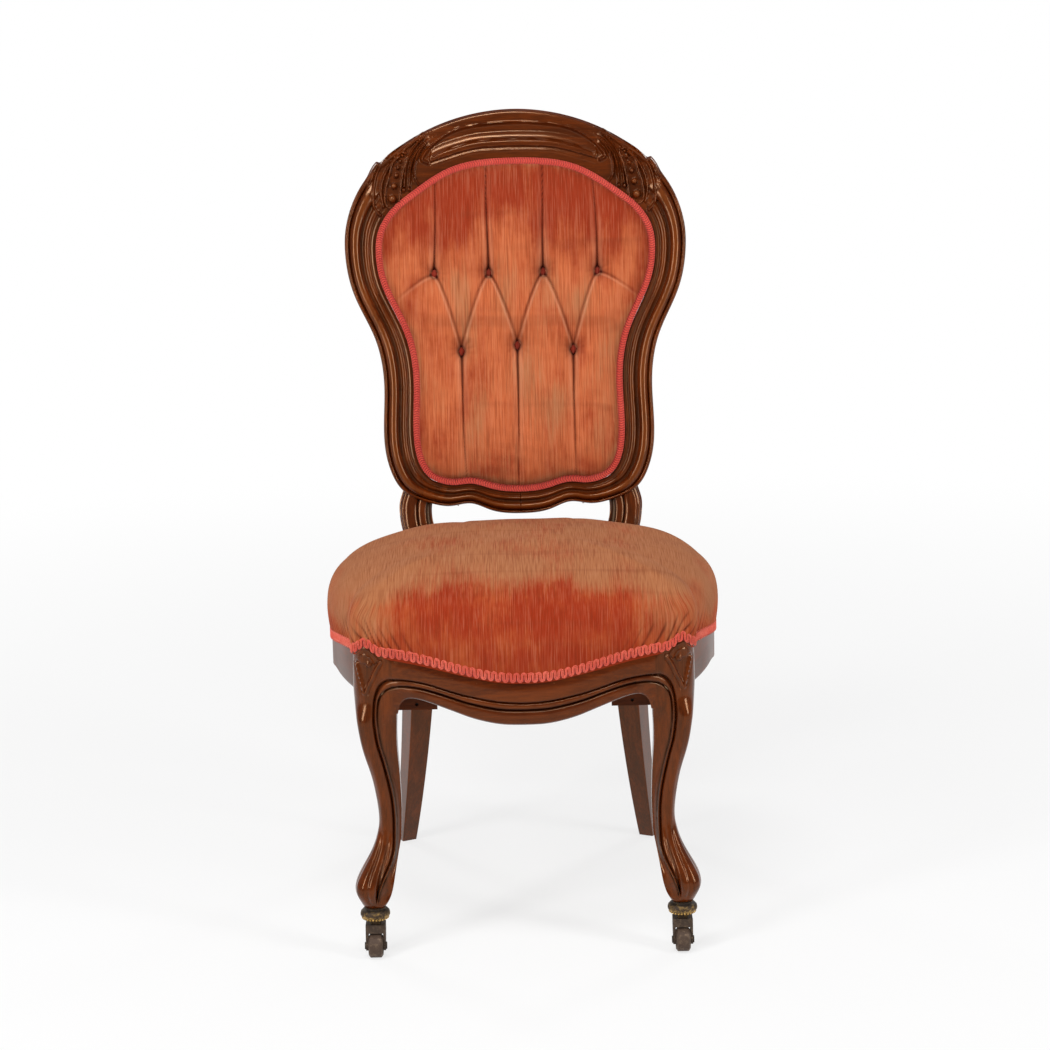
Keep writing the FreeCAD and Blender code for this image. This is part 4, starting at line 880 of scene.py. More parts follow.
    def build(self) -> None:
        """Crest rail, both sides and the bottom rail."""
        joint, foot = self.crest_joint, self.foot_joint
        crest = self.member("crest_carved", -joint, joint, 640, 66)
        settle(crest, Mahogany("crest_mahogany", Grain.ACROSS), "crest_rail")
        for side in Side:
            stile = self.member(side.label + "_stile_moulded", side.value * joint, side.value * foot, 300, 56)
            finish = Mahogany(side.label + "_stile_mahogany", Grain.UPRIGHT)
            settle(stile, finish, side.label + "_back_stile")
        halves = [self.half_bottom(side.label + "_bottom", side) for side in Side]
        bottom = join_pieces("back_bottom_moulded", halves)
        tidy_mesh(bottom, 50.0)
        settle(bottom, Mahogany("bottom_mahogany", Grain.ACROSS), "back_bottom_rail")

    def half_bottom(self, name: str, side: Side) -> bpy.types.Object:
        """Half of the bottom rail, from its joint to the middle."""
        return self.member(name, side.value * self.foot_joint, side.value * self.last, 110, 50)


@dataclass
class TuftedPanel:
    """The velvet panel in the balloon, its buttons and its braid."""

    ring: BalloonRing
    crown: float = 26.0
    gimp_width: float = 9.6
    button_radius: float = 5.6
    middle: Tuple[float, float] = (0.0, 250.0)
    high: Points = ((-106.7, 317), (-35.6, 317), (35.6, 317), (106.7, 317))
    low: Points = ((-73, 215.5), (0, 222), (73, 215.5))

    def seams(self) -> List[Tuple[Points, float, float, bool]]:
        """Fold lines: their path, their strength at both ends, and whether they run upright."""
        tops = ((-102, 440), (-37, 470), (36, 470), (104, 440))
        folds: List[Tuple[Points, float, float, bool]] = []
        for (ax, aw), (bx, bw) in (*zip(self.high, tops), *zip(self.low, ((-70, 34), (-1, 22), (72, 34)))):
            turns = [(ax + (bx - ax) * u + 1.3 * math.sin(u * 5.0 + ax) * u, aw + (bw - aw) * u) for u in LADDER]
            folds.append((turns, 1.0, 0.62 if bw > aw else 0.42, True))
        for (ax, aw), (bx, bw) in ((self.high[0], (-158, 283)), (self.high[3], (158, 286))):
            folds.append(([(ax + (bx - ax) * u, aw + (bw - aw) * u ** 1.2) for u in LADDER], 0.8, 0.15, False))
        for i, (ax, aw) in enumerate(self.high):
            for j in (i - 1, i):
                if 0 <= j < 3:
                    bx, bw = self.low[j]
                    curve = [(ax + (bx - ax) * u ** 0.76, aw + (bw + 3.0 - aw) * u) for u in LADDER]
                    folds.append((curve, 0.75, 0.55, False))
        return folds

    def height(self, x: Array, w: Array, edge: Array) -> Tuple[Array, Array, Array]:
        """Height of the velvet over the face plane, how much painted shade a point gets in folds and pits, and its
        painted highlight.

        The panel is a quarter round near its edge. Upright folds are valleys with a sharp crease
        that gapes above each button, with a painted highlight beside it near the button; slanting folds are creases
        with a raised ridge below them that gets a painted highlight.
        """
        rise = np.sqrt(np.clip(1.0 - (1.0 - np.clip(edge / 80.0, 0.0, 1.0)) ** 2, 0.0, 1.0))
        height = self.crown * rise - 3.0
        crease, valley, ridge, rub = (np.zeros_like(x) for _ in range(4))
        for path, start, end, upright in self.seams():
            gap = path_distance(x, w, path)
            (x0, w0), (x1, w1) = path[0], path[-1]
            u = np.clip(((x - x0) * (x1 - x0) + (w - w0) * (w1 - w0)) / ((x1 - x0) ** 2 + (w1 - w0) ** 2), 0.0, 1.0)
            strength = start + (end - start) * u
            if upright:
                crease = np.maximum(crease, strength * bell(gap, 0.9 + 1.5 * np.exp(-u * 6.0)))
                valley = np.maximum(valley, strength * bell(gap, 15.0))
                # Painted highlight on both sides of the upright fold near its button.
                rub = np.maximum(rub, 0.55 * bell(gap - 4.5, 2.6) * np.exp(-u * 2.5))
            else:
                below = path_side(x, w, path) * (1.0 if x1 < x0 else -1.0)
                crease = np.maximum(crease, 0.80 * strength * bell(below + 0.6, 1.5))
                valley = np.maximum(valley, 0.50 * strength * bell(gap, 10.0))
                ridge = np.maximum(ridge, strength * bell(below - 2.6, 1.5))
        pit, tucks, rim = (np.zeros_like(x) for _ in range(3))
        for bx, bw in (*self.high, *self.low):
            gap = np.hypot((x - bx) * 1.25, w - bw)
            angle = np.arctan2(w - bw, x - bx)
            pit = np.maximum(pit, np.exp(-np.maximum(gap - 5.0, 0.0) / 13.0))
            rim = np.maximum(rim, bell(gap - 6.4, 1.8))
            tucks += np.sin(angle * 11.0 + bx) * bell(gap - 15.0, 6.0) * 0.5
        height = height * (1.0 - 0.60 * pit) - 3.4 * pit - 6.2 * valley * ease(edge, 0.0, 26.0)
        height = height - 3.4 * crease + 1.8 * ridge + tucks
        height += 1.3 * ripple(x, w * 0.45, 5, 34.0) * ease(edge, 4.0, 40.0) + 0.35 * ripple(x, w, 8, 11.0)
        # Painted shade in the creases, round the button rims and in the pits; painted highlight on the ridges.
        fold = np.clip(crease * 0.95 + 0.36 * rim + 0.35 * pit**4, 0.0, 1.0)
        return height, fold, np.clip(ridge * 0.95 + rub, 0.0, 1.0)

    def panel(self) -> bpy.types.Object:
        """Rings from the middle out to the braid, then round a thin edge to the flat back."""
        around, rings = 720, 118
        loop, _ = self.ring.inner_loop(around, np.array([self.gimp_width - 1.4]))
        rim = loop[:, 0]
        centre = np.array(self.middle)
        share = np.linspace(0.004, 1.0, rings) ** 0.9
        flat = centre + (rim[None] - centre) * share[:, None, None]
        x, w = flat[..., 0], flat[..., 1]
        edge = self.edge_distance(x, w, rim)
        height, fold, rub = self.height(x, w, edge)
        blotch = ripple(x, w * 0.7, 31, 44.0)
        low = ease(-w, -390.0, -300.0)
        worn = 0.16 + 0.26 * low + 0.30 * bell(edge - 1.0, 6.0) + 0.26 * blotch * low - 0.14 * bell(w - 400.0, 60.0)
        worn = np.clip(worn - 0.20 * ease(np.abs(x - 20.0), 70.0, 130.0) * low, 0.0, 0.9)
        lit = 0.44 + 0.34 * low - 0.46 * bell(w - 428.0, 50.0) - 0.26 * bell(w - 60.0, 60.0) * (0.6 + 0.6 * blotch)
        lit += 0.16 * bell(x, 44.0) - 0.20 * fold - 0.22 * ease(np.abs(x), 96.0, 140.0) * (0.6 - 0.7 * blotch)
        rim_depth = -height[-1]
        steps = (0.4, 0.8, 1.0)
        side = [self.ring.plane.lift(rim[:, 0], rim_depth + (14.0 - rim_depth) * t, rim[:, 1]) for t in steps]
        inner = [
            self.ring.plane.lift(centre[0] + (rim[:, 0] - centre[0]) * t, 14.0, centre[1] + (rim[:, 1] - centre[1]) * t)
            for t in (0.9, 0.5, 0.02)
        ]
        points = np.concatenate([self.ring.plane.lift(x, -height, w), np.stack(side + inner)])
        extra = np.zeros((len(side) + len(inner), around))
        # fold carries painted shade, lit painted light and shade, rub painted highlight.
        kinds = (("fold", fold), ("worn", worn), ("lit", lit), ("rub", 0.55 * rub))
        marks = {key: np.concatenate([value, extra]) for key, value in kinds}
        return make_mesh("tufted_panel", points, wrap_cols=True, caps=True, marks=marks, sharp=80.0)

    def edge_distance(self, x: Array, w: Array, rim: Array) -> Array:
        """Least distance to the rim, over a thinned-out copy of it."""
        few = [tuple(p) for p in rim[::6]]
        return np.maximum(path_distance(x, w, [*few, few[0]]) - 0.4, 0.0)

    def braid(self, name: str, face: float, rear: bool) -> bpy.types.Object:
        """A flat braid round the panel: two ribbed edges with a wave of loops between them.

        Args:
            name: Name of the piece.
            face: Depth of its outer face.
            rear: True for the braid of the outside back, which faces backwards.

        Returns:
            The braid as a mesh object.
        """
        around = 2200
        across = np.linspace(0.2, self.gimp_width - 0.2, 13)
        loop, run = self.ring.inner_loop(around, across)
        total = run[-1] + (run[-1] - run[-2])
        turns = round(total / 6.4) / total
        phase = 2.0 * math.pi * turns * run[:, None]
        a = (across[None] - self.gimp_width / 2.0) / (self.gimp_width / 2.0)
        ribs = 1.3 * np.abs(np.sin(phase + np.abs(a) * 2.0)) ** 0.7 * (1.0 - 0.25 * np.abs(a))
        edge = bell(np.abs(a) - 0.86, 0.10)
        height = 0.2 + ribs + 0.5 * edge * np.abs(np.sin(phase + 0.8))
        gap = 1.0 - np.abs(np.sin(phase + np.abs(a) * 2.0))
        sides = 0.5 * bell(np.abs(a) - 0.62, 0.09) + 0.5 * ease(np.abs(a), 0.86, 1.0)
        # Painted shade between the ribs and along the braid's sides.
        hollow = np.clip(0.95 * ease(gap, 0.25, 0.85) + sides, 0, 1)
        out = 1.0 if rear else -1.0
        front = self.ring.plane.lift(loop[..., 0], face + out * height, loop[..., 1])
        base = self.ring.plane.lift(loop[:, ::-3, 0], face - out * 1.6 + 0.0 * loop[:, ::-3, 0], loop[:, ::-3, 1])
        points = np.concatenate([front, base], axis=1)
        marks = {"hollow": np.concatenate([hollow, np.zeros(base.shape[:2])], axis=1)}
        return make_mesh(name, points, wrap_rows=True, wrap_cols=True, marks=marks, sharp=70.0)

    def buttons(self) -> bpy.types.Object:
        """Velvet-covered buttons: flattened domes with a gathered rim, sunk in their pits."""
        parts = []
        for i, (bx, bw) in enumerate((*self.high, *self.low)):
            level = self.height(np.array([float(bx)]), np.array([float(bw)]), np.array([95.0]))[0]
            angle = np.linspace(0.0, 2.0 * math.pi, 28, endpoint=False)
            tilt = np.linspace(0.02, math.pi - 0.02, 16)[:, None]
            point = 1.0 / (np.abs(np.cos(angle)) ** 1.35 + np.abs(np.sin(angle)) ** 1.35) ** (1.0 / 1.35)
            radius = self.button_radius * np.sin(tilt) * point * (1.0 + 0.04 * np.sin(angle * 7.0 + i) * np.sin(tilt))
            lift = float(level[0]) + 2.0 + 3.2 * np.cos(tilt) + 0.0 * angle
            points = self.ring.plane.lift(
                bx + 0.80 * radius * np.cos(angle), -lift, bw + 1.18 * radius * np.sin(angle))
            levels = (("fold", 0.12), ("worn", 0.0), ("lit", 0.2))
            marks = {key: np.full(points.shape[:2], value) for key, value in levels}
            parts.append(make_mesh("button_%d" % i, points, wrap_cols=True, caps=True, marks=marks, sharp=80.0))
        return join_pieces("tuft_buttons", parts)

    def build(self) -> None:
        """Panel, buttons, front braid, outside cover and its braid."""
        panel = settle(self.panel(), Velvet("panel_velvet"), "back_pad")
        red = Velvet(
            "button_velvet_red", fresh=(0.17, 0.012, 0.007), lit=(0.34, 0.030, 0.016), worn=(0.3, 0.05, 0.03))
        settle(self.buttons(), red, "back_buttons")
        coral = Braid("panel_braid_coral", body=(0.50, 0.038, 0.022), lustre=(0.70, 0.10, 0.06))
        settle(self.braid("panel_braid", 3.2, False), coral, "back_gimp")
        rear = self.braid("outside_braid", 25.6, True)
        settle(rear, Braid("outside_braid_coral"), "outside_back_gimp")
        cover = settle(self.outside_cover(), Velvet("outside_velvet"), "outside_back_cover")

    def outside_cover(self) -> bpy.types.Object:
        """The plain velvet of the outside back: nearly flat, slightly full in the middle."""
        around, rings = 360, 50
        loop, _ = self.ring.inner_loop(around, np.array([0.6]))
        rim = loop[:, 0]
        centre = np.array(self.middle)
        share = np.linspace(0.01, 1.0, rings)[:, None]
        x = centre[0] + (rim[None, :, 0] - centre[0]) * share
        w = centre[1] + (rim[None, :, 1] - centre[1]) * share
        lift = 25.0 + 2.2 * (1.0 - share**3) + 0.4 * ripple(x, w, 9, 60.0)
        outer = self.ring.plane.lift(x, lift, w)
        under = self.ring.plane.lift(x[::-7], 22.2 + 0.0 * x[::-7], w[::-7])
        marks = {
            "fold": np.zeros((len(outer) + len(under), around)),
            "worn": np.full((len(outer) + len(under), around), 0.12),
            "lit": np.full((len(outer) + len(under), around), 0.55),
        }
        points = np.concatenate([outer, under])
        return make_mesh("outside_cover", points, wrap_cols=True, caps=True, marks=marks, sharp=80.0)


# The seat

@dataclass
class SeatPlan:
    """The seat's outline in plan and the line where velvet meets wood."""

    front_y: float = -259.0
    end_x: float = 152.0
    end_y: float = -235.6
    corner: Tuple[float, float] = (203.0, -220.0)
    knee_radius: float = 22.0
    line_low: float = 341.0
    # Both arcs of the side, each by three points, from the front leg to the rear post.
    side_arcs: Tuple[Tuple[Tuple[float, float], ...], ...] = (
        ((204, -185), (230, -98), (242, -4)), ((242, -4), (219, 84), (163, 127)))
    # The rear edge, which steps in beside the rear post.
    rear: Points = ((163, 127), (158, 129), (121, 131), (113, 145), (60, 146), (0, 146))

    def bow(self, x: Array) -> Array:
        """Front face of the front rail: an arc through its middle and both ends."""
        sag = self.end_y - self.front_y
        radius = (self.end_x**2 + sag**2) / (2.0 * sag)
        return self.front_y + radius - np.sqrt(radius**2 - np.clip(np.abs(x), 0, 300) ** 2)

    def line(self, x: Array, y: Array) -> Array:
        """Height of the velvet's lower edge.

        It falls slowly along the sides, dips in the middle of the front, and arches over the knees.
        """
        front = 350.0 + 26.5 * ease(np.abs(x), 8.0, 165.0) - self.line_low
        arch = 11.0 * bell(np.abs(x) - 187.0, 11.0) * ease(-y, 200.0, 217.0)
        return self.line_low + front * ease(-y, -80.0, 220.0) + arch

    def outline(self, count: int) -> Tuple[Array, Array]:
        """Points all round the seat, evenly spaced, with their outward directions.

        Arcs and straight stretches of the plan are sampled densely, then spaced out again.
        """
        half: List[Array] = []
        x = np.linspace(0.0, self.end_x, 160)
        half.append(np.stack([x, self.bow(x)], axis=1))
        a, c, b = (np.array(p, dtype=float) for p in ((self.end_x, self.end_y), self.corner, (204.0, -185.0)))
        back, side = (a - c) / np.linalg.norm(a - c), (b - c) / np.linalg.norm(b - c)
        half_angle = math.acos(float(back @ side)) / 2.0
        run = self.knee_radius / math.tan(half_angle)
        start, end = c + back * run, c + side * run
        t = np.linspace(0.0, 1.0, 40)[:, None]
        half.append((1 - t) ** 2 * start + 2 * t * (1 - t) * (c * 0.92 + (start + end) * 0.04) + t**2 * end)
        half += [self.arc(*arc) for arc in self.side_arcs]
        half.append(np.array(self.rear, dtype=float))
        right = np.concatenate(half)
        keep_rows = np.concatenate([[True], np.linalg.norm(np.diff(right, axis=0), axis=1) > 1e-6])
        right = right[keep_rows]
        whole = np.concatenate([right, (right * [-1.0, 1.0])[-2:0:-1]])
        closed = np.concatenate([whole, whole[:1]])
        length = np.concatenate([[0.0], np.cumsum(np.linalg.norm(np.diff(closed, axis=0), axis=1))])
        s = np.linspace(0.0, length[-1], count, endpoint=False)
        pts = np.stack([np.interp(s, length, closed[:, k]) for k in (0, 1)], axis=1)
        way = np.roll(pts, -2, axis=0) - np.roll(pts, 2, axis=0)
        way /= np.linalg.norm(way, axis=1, keepdims=True)
        return pts, np.stack([way[:, 1], -way[:, 0]], axis=1)

    def arc(self, p: Tuple[float, float], q: Tuple[float, float], r: Tuple[float, float]) -> Array:
        """The circle's arc through three points: its centre is where the bisectors meet."""
        (ax, ay), (bx, by), (cx, cy) = p, q, r
        d = 2.0 * (ax * (by - cy) + bx * (cy - ay) + cx * (ay - by))
        ux = ((ax**2 + ay**2) * (by - cy) + (bx**2 + by**2) * (cy - ay) + (cx**2 + cy**2) * (ay - by)) / d
        uy = ((ax**2 + ay**2) * (cx - bx) + (bx**2 + by**2) * (ax - cx) + (cx**2 + cy**2) * (bx - ax)) / d
        start, end = (math.atan2(y - uy, x - ux) for x, y in (p, r))
        turn = (end - start + math.pi) % (2.0 * math.pi) - math.pi
        angle = start + np.linspace(0.0, turn, 120)
        radius = math.hypot(ax - ux, ay - uy)
        return np.stack([ux + radius * np.cos(angle), uy + radius * np.sin(angle)], axis=1)


@dataclass
class SeatCushion:
    """The domed velvet seat and its scroll braid."""

    plan: SeatPlan
    crown: float = 491.0
    middle: Tuple[float, float] = (0.0, -52.0)
    bulge: float = 5.5
    braid_height: float = 12.0

    def cushion(self) -> bpy.types.Object:
        """Rings from the braid up over the shoulder to the crown.

        Each ring shrinks towards the middle while it rises by a squashed circle and swells out a
        little above the braid. Gathers along the lower edge lean outwards at the front corners.
        The cloth's own place turns with the sides, so that its threads run down there.
        """
        around, rings = 900, 96
        rim, normal = self.plan.outline(around)
        base = self.plan.line(rim[:, 0], rim[:, 1]) + 1.0
        angle = math.pi / 2.0 * np.linspace(0.0, 1.0, rings)[:, None] ** 1.8
        shrink = np.cos(angle) ** (2.0 / 2.2)
        climb = np.sin(angle) ** (2.0 / 4.3)
        centre = np.array(self.middle)
        flat = centre + (rim[None] - centre) * shrink[..., None]
        top = self.crown - 4.0 * ((flat[..., 1] + 52.0) / 200.0) ** 2
        z = base + (top - base) * climb
        swell = self.bulge * np.sin(np.clip((z - base) / 95.0, 0.0, 1.0) * math.pi) ** 0.8
        run = np.arange(around, dtype=float)
        corner = ease(np.abs(rim[:, 0]), 95.0, 165.0) * ease(-rim[:, 1], 40.0, 150.0)
        lean = np.sign(rim[:, 0]) * 0.34 * np.clip(z - base, 0.0, 60.0)
        turns = (run - lean) * 0.46 + 1.4 * np.sin((run - lean) * 0.11)
        reach = 12.0 + 9.0 * np.sin(run * 0.37) ** 2 + 17.0 * corner * (0.6 + 0.4 * np.sin(run * 0.71))
        above = np.maximum(z - base - 4.0, 0.0)
        tucks = -bell(np.sin(turns), 0.40) * (0.25 + 1.9 * corner) * bell(above, reach)
        soft = 1.4 * ripple(flat[..., 0], flat[..., 1] + z, 21, 70.0) * climb
        out = (swell + tucks) * (1.0 - ease(climb, 0.55, 1.0))
        x = flat[..., 0] + normal[None, :, 0] * out
        y = flat[..., 1] + normal[None, :, 1] * out
        z = z + soft
        sides = ease(np.abs(x) + 0.25 * np.abs(y + 60.0), 130.0, 235.0)
        top = ease(z, 400.0, 478.0)
        blotch = ripple(x, y, 17, 60.0)
        front = ease(-y, -60.0, 150.0) * (1.0 - sides)
        worn = 0.84 * ease(z, 432.0, 474.0) + 0.70 * sides * ease(z, 366.0, 412.0) + 0.16 * blotch
        lit = 0.20 + 0.16 * ease(z, 376.0, 400.0) + 0.34 * sides
        lit = lit - 0.30 * front * ease(z, 396.0, 430.0) * (1.0 - top)
        # Painted shade in the tucks of the gathers.
        fold = np.clip(-tucks * 0.46 - 0.05, 0.0, 0.80)
        under = [np.stack([rim[:, 0], rim[:, 1], base - 3.0], axis=1)]
        for t in (0.93, 0.55, 0.02):
            inner = centre + (rim - centre) * t
            under.append(np.stack([inner[:, 0], inner[:, 1], np.full(around, 350.0 if t > 0.9 else 404.0)], axis=1))
        points = np.concatenate([np.stack(under[::-1]), np.stack([x, y, z], axis=-1)[:-1]])
        extra = np.zeros((len(under), around))
        turned = ease(np.abs(x), 150.0, 236.0) * ease(-z, -462.0, -418.0)
        across = (x + np.sign(x) * turned * (y + 200.0)) / 1000.0
        along = (z + y) / 1000.0
        marks = {k: np.concatenate([extra, v[:-1]]) for k, v in (
            ("fold", fold), ("worn", worn), ("lit", lit), ("across", across), ("along", along))}
        return make_mesh("seat_cushion", points, wrap_cols=True, caps=True, marks=marks, sharp=80.0)

    def scrolls(self) -> bpy.types.Object:
        """The scroll braid: two cords side by side that swing up and down in close rounded loops.

        Along the seat line they go forward by the pitch; twice in each loop they slow down, so
        that the loops' sides stand upright. A straight heading covers the upper turns.
        """
        plan_pts, normal = self.plan.outline(2400)
        line = self.plan.line(plan_pts[:, 0], plan_pts[:, 1])
        rim = np.column_stack([plan_pts, line])
        open_run = plan_pts[:, 1] < 122.0
        order = np.concatenate([np.arange(1200, 2400), np.arange(0, 1200)])
        rim, normal, open_run = rim[order], normal[order], open_run[order]
        rim, normal = rim[open_run], normal[open_run]
        length = np.concatenate([[0.0], np.cumsum(np.linalg.norm(np.diff(rim, axis=0), axis=1))])
        loops = round(length[-1] / 8.6)
        pitch = length[-1] / loops
        parts = []
        tall = self.braid_height
        phase = np.linspace(0.0, 2.0 * math.pi * loops, loops * 20)
        run = pitch * (phase / (2.0 * math.pi) + 1.15 * np.sin(2.0 * phase) / (4.0 * math.pi))
        rise = (0.5 + 0.5 * np.cos(phase)) * (tall - 2.2) + 1.0
        way = np.gradient(np.stack([run, rise], axis=1), axis=0)
        way /= np.linalg.norm(way, axis=1, keepdims=True)
        for name, aside in (("outer", 0.84), ("inner", -0.84)):
            s = np.clip(run - way[:, 1] * aside, 0.0, length[-1])
            z = rise + way[:, 0] * aside
            pts = np.stack([np.interp(s, length, rim[:, k]) for k in range(3)], axis=1)
            nrm = np.stack([np.interp(s, length, normal[:, k]) for k in range(2)], axis=1)
            path = np.column_stack([pts[:, :2] + nrm * 2.0, pts[:, 2] + z])
            parts.append(tube("scroll_" + name, path, np.array([0.72]), sides=6))
        level = rim[:, 2] + tall - 1.4
        path = np.stack([rim[:, 0] + normal[:, 0] * 1.4, rim[:, 1] + normal[:, 1] * 1.4, level], axis=1)
        parts.append(tube("heading", path[::3], np.array([0.8]), sides=6))
        across = np.array([0.4, 3.5, 7.0, tall - 0.6])
        level_way = np.column_stack([normal, np.zeros(len(normal))])[:, None]
        outer = rim[:, None] + level_way * 1.1 + np.array([0.0, 0.0, 1.0]) * across[None, :, None]
        inner = outer[:, ::-1] - level_way
        band = np.concatenate([outer, inner], axis=1)[::3]
        # The ground band behind the loops is a sheet in painted shade, dark where the gaps between the cords show.
        marks = {"hollow": np.full(band.shape[:2], 0.95)}
        parts.append(make_mesh("braid_ground", band, wrap_cols=True, caps=True, marks=marks, sharp=60.0))
        return join_pieces("seat_braid", parts)

    def build(self) -> None:
        """The cushion and its braid."""
        cloth = Velvet("seat_velvet_rust", fresh=(0.27, 0.0225, 0.0045), lit=(0.42, 0.083, 0.023),
                       worn=(0.335, 0.132, 0.055), draped=True)
        cushion = settle(self.cushion(), cloth, "seat_pad")
        settle(self.scrolls(), Braid("seat_braid_coral"), "seat_gimp")


# The wooden base

def rounded_sections(corners: Array, radii: Array, arc: int, sides: Sequence[int]) -> Array:
    """Points round many four-cornered sections at once, every corner rounded by its own radius.

    Args:
        corners: Array of levels, four corners and two coordinates, in turning order.
        radii: Array of levels and four radii.
        arc: Points on each corner's arc.
        sides: Points on each straight side, its ends left out, from the first corner on.

    Returns:
        Array of levels, points and two coordinates.
    """
    before = np.roll(corners, 1, axis=1) - corners
    after = np.roll(corners, -1, axis=1) - corners
    before /= np.linalg.norm(before, axis=2, keepdims=True)
    after /= np.linalg.norm(after, axis=2, keepdims=True)
    half = np.arccos(np.clip((before * after).sum(axis=2), -1.0, 1.0)) / 2.0
    run = (radii / np.tan(half))[..., None]
    middle = (before + after) / np.linalg.norm(before + after, axis=2, keepdims=True)
    centre = corners + middle * (radii / np.sin(half))[..., None]
    start, end = corners + before * run, corners + after * run
    a, b = start - centre, end - centre
    t = np.linspace(0.0, 1.0, arc)[None, None, :, None]
    spread = (math.pi - 2.0 * half)[..., None, None]
    turn = (np.sin((1 - t) * spread) * a[:, :, None] + np.sin(t * spread) * b[:, :, None]) / np.sin(spread)
    arcs = centre[:, :, None] + turn
    pieces: List[Array] = []
    for i, count in enumerate(sides):
        u = np.linspace(0.0, 1.0, count + 2)[1:-1][None, :, None]
        pieces += [arcs[:, i], end[:, i, None] * (1 - u) + start[:, (i + 1) % 4, None] * u]
    return np.concatenate(pieces, axis=1)


@dataclass
class Arch:
    """The moulding that runs under the seat and down the inside of both front legs.

    It is drawn on the front view, for positive x: the wood's lower edge, a narrow groove, a bead,
    a second groove, and above that the broad band that becomes the leg's front face.
    """

    edge: Points = (
        (0, 296.6), (20, 297.0), (35, 298.7), (50, 301.8), (65, 306.0), (82, 312.2), (100, 318.6), (112, 322.6),
        (122, 325.3), (131, 326.6), (138.5, 325.8), (144, 322.0), (148, 315.5), (150.6, 305), (152, 292), (153, 262),
        (151.2, 222), (150.6, 180), (152.4, 148), (157.6, 116), (160.6, 96), (165, 82), (173, 60),
    )
    groove: Points = (
        (0, 314.3), (30, 315.6), (64.5, 322.6), (82, 328), (96.8, 332.6), (114.3, 337.4), (128, 339.9), (140.8, 340.6),
        (152.6, 339.4), (163, 335.2), (170.2, 328), (173.8, 318.8), (175.3, 305), (174.9, 290), (172.2, 268),
        (167.2, 246), (162.4, 222), (158.6, 198), (157, 174), (157.3, 150), (158.4, 131), (162.6, 118), (169, 105),
        (175.2, 93), (179.4, 80), (183, 60),
    )
    crease: Points = (
        (0, 323.4), (30, 325.2), (64.3, 331.6), (82, 336.0), (96.6, 340.2), (110, 344.2), (125.9, 347.4),
        (140.6, 348.8), (153, 348.8), (163, 346), (170.4, 340), (175.2, 330.6), (178.2, 318), (179.3, 303),
        (178.9, 290), (176.4, 268), (171.2, 246), (166.4, 222), (162.4, 198), (160.6, 174), (160.8, 150), (161.8, 131),
        (165.8, 118), (172, 105.5), (177.8, 93), (181.6, 80), (185, 60),
    )

    # How many points of the softened edge belong to the rail; the rest run down the leg.
    rail_points: int = 40

    def __post_init__(self) -> None:
        """Softens the three lines."""
        self.edge_line = smooth_path(self.edge, 3)
        self.groove_line = smooth_path(self.groove, 3)
        self.crease_line = smooth_path(self.crease, 3)

    def low(self, x: Array) -> Array:
        """Height of the wood's lower edge over the rail's length."""
        along = np.array(self.edge_line[:self.rail_points])
        return np.interp(np.abs(x), along[:, 0], along[:, 1])

    def depth(self, x: Array, z: Array, top: Array) -> Tuple[Array, Array, Array]:
        """How deep the carved face lies behind the plain front, where shade is painted along the grooves, what is
        rubbed.

        The lip is a fillet that turns into a wide hollow down the leg; the bead is a half round
        between the two grooves; the band over the rail is one full roll between its groove and
        the velvet, and becomes the leg's plain front past the corner.
        """
        x = np.abs(x)
        to_edge = np.maximum(path_side(x, z, self.edge_line), 0.0)
        to_groove = path_side(x, z, self.groove_line)
        to_crease = path_side(x, z, self.crease_line)
        leg = ease(x, 128.0, 152.0) * (0.42 + 0.58 * ease(-z, -326.0, -286.0))
        share = to_edge / (to_edge + np.abs(to_groove) + 1e-6)
        lip = 4.6 - 4.0 * dome(share - 0.54, 0.56) + 1.0 * (1.0 - ease(to_edge, 0.0, 2.4))
        hollow = 11.0 - 7.6 * share ** 1.25 + 1.2 * np.sin(share * math.pi)
        inner = lip * (1.0 - leg) + hollow * leg
        width = np.maximum(np.abs(to_groove) + np.abs(to_crease), 1e-3)
        across = (np.abs(to_groove) - np.abs(to_crease)) / width
        bead = 5.0 - 3.8 * dome(across, 1.0)
        room = np.maximum(top - z, 0.0) + 2.5
        part = np.clip(to_crease, 0.0, 60.0) / (np.clip(to_crease, 0.0, 60.0) + room)
        roll = 7.6 - 7.6 * dome(part - 0.32, 0.70)
        swell = 4.6 * (1.0 - np.clip(to_crease / 9.0, 0.0, 1.0)) ** 2
        column = ease(x, 150.0, 166.0)
        band = roll * (1.0 - column) + swell * column
        out = np.where(to_crease > 0.0, band, np.where(to_groove > 0.0, bead, inner))
        out = out + 2.2 * bell(to_groove, 1.05) * (1.0 - 0.45 * leg) + 1.5 * bell(to_crease, 1.25)
        # Painted shade along both grooves.
        painted_shade = np.maximum(0.75 * bell(to_groove, 2.2), 0.6 * bell(to_crease, 2.0))
        rubbed = np.maximum(dome(across, 0.5) * (to_crease <= 0.0) * (to_groove > 0.0), 0.0)
        return out, painted_shade, rubbed * 0.8


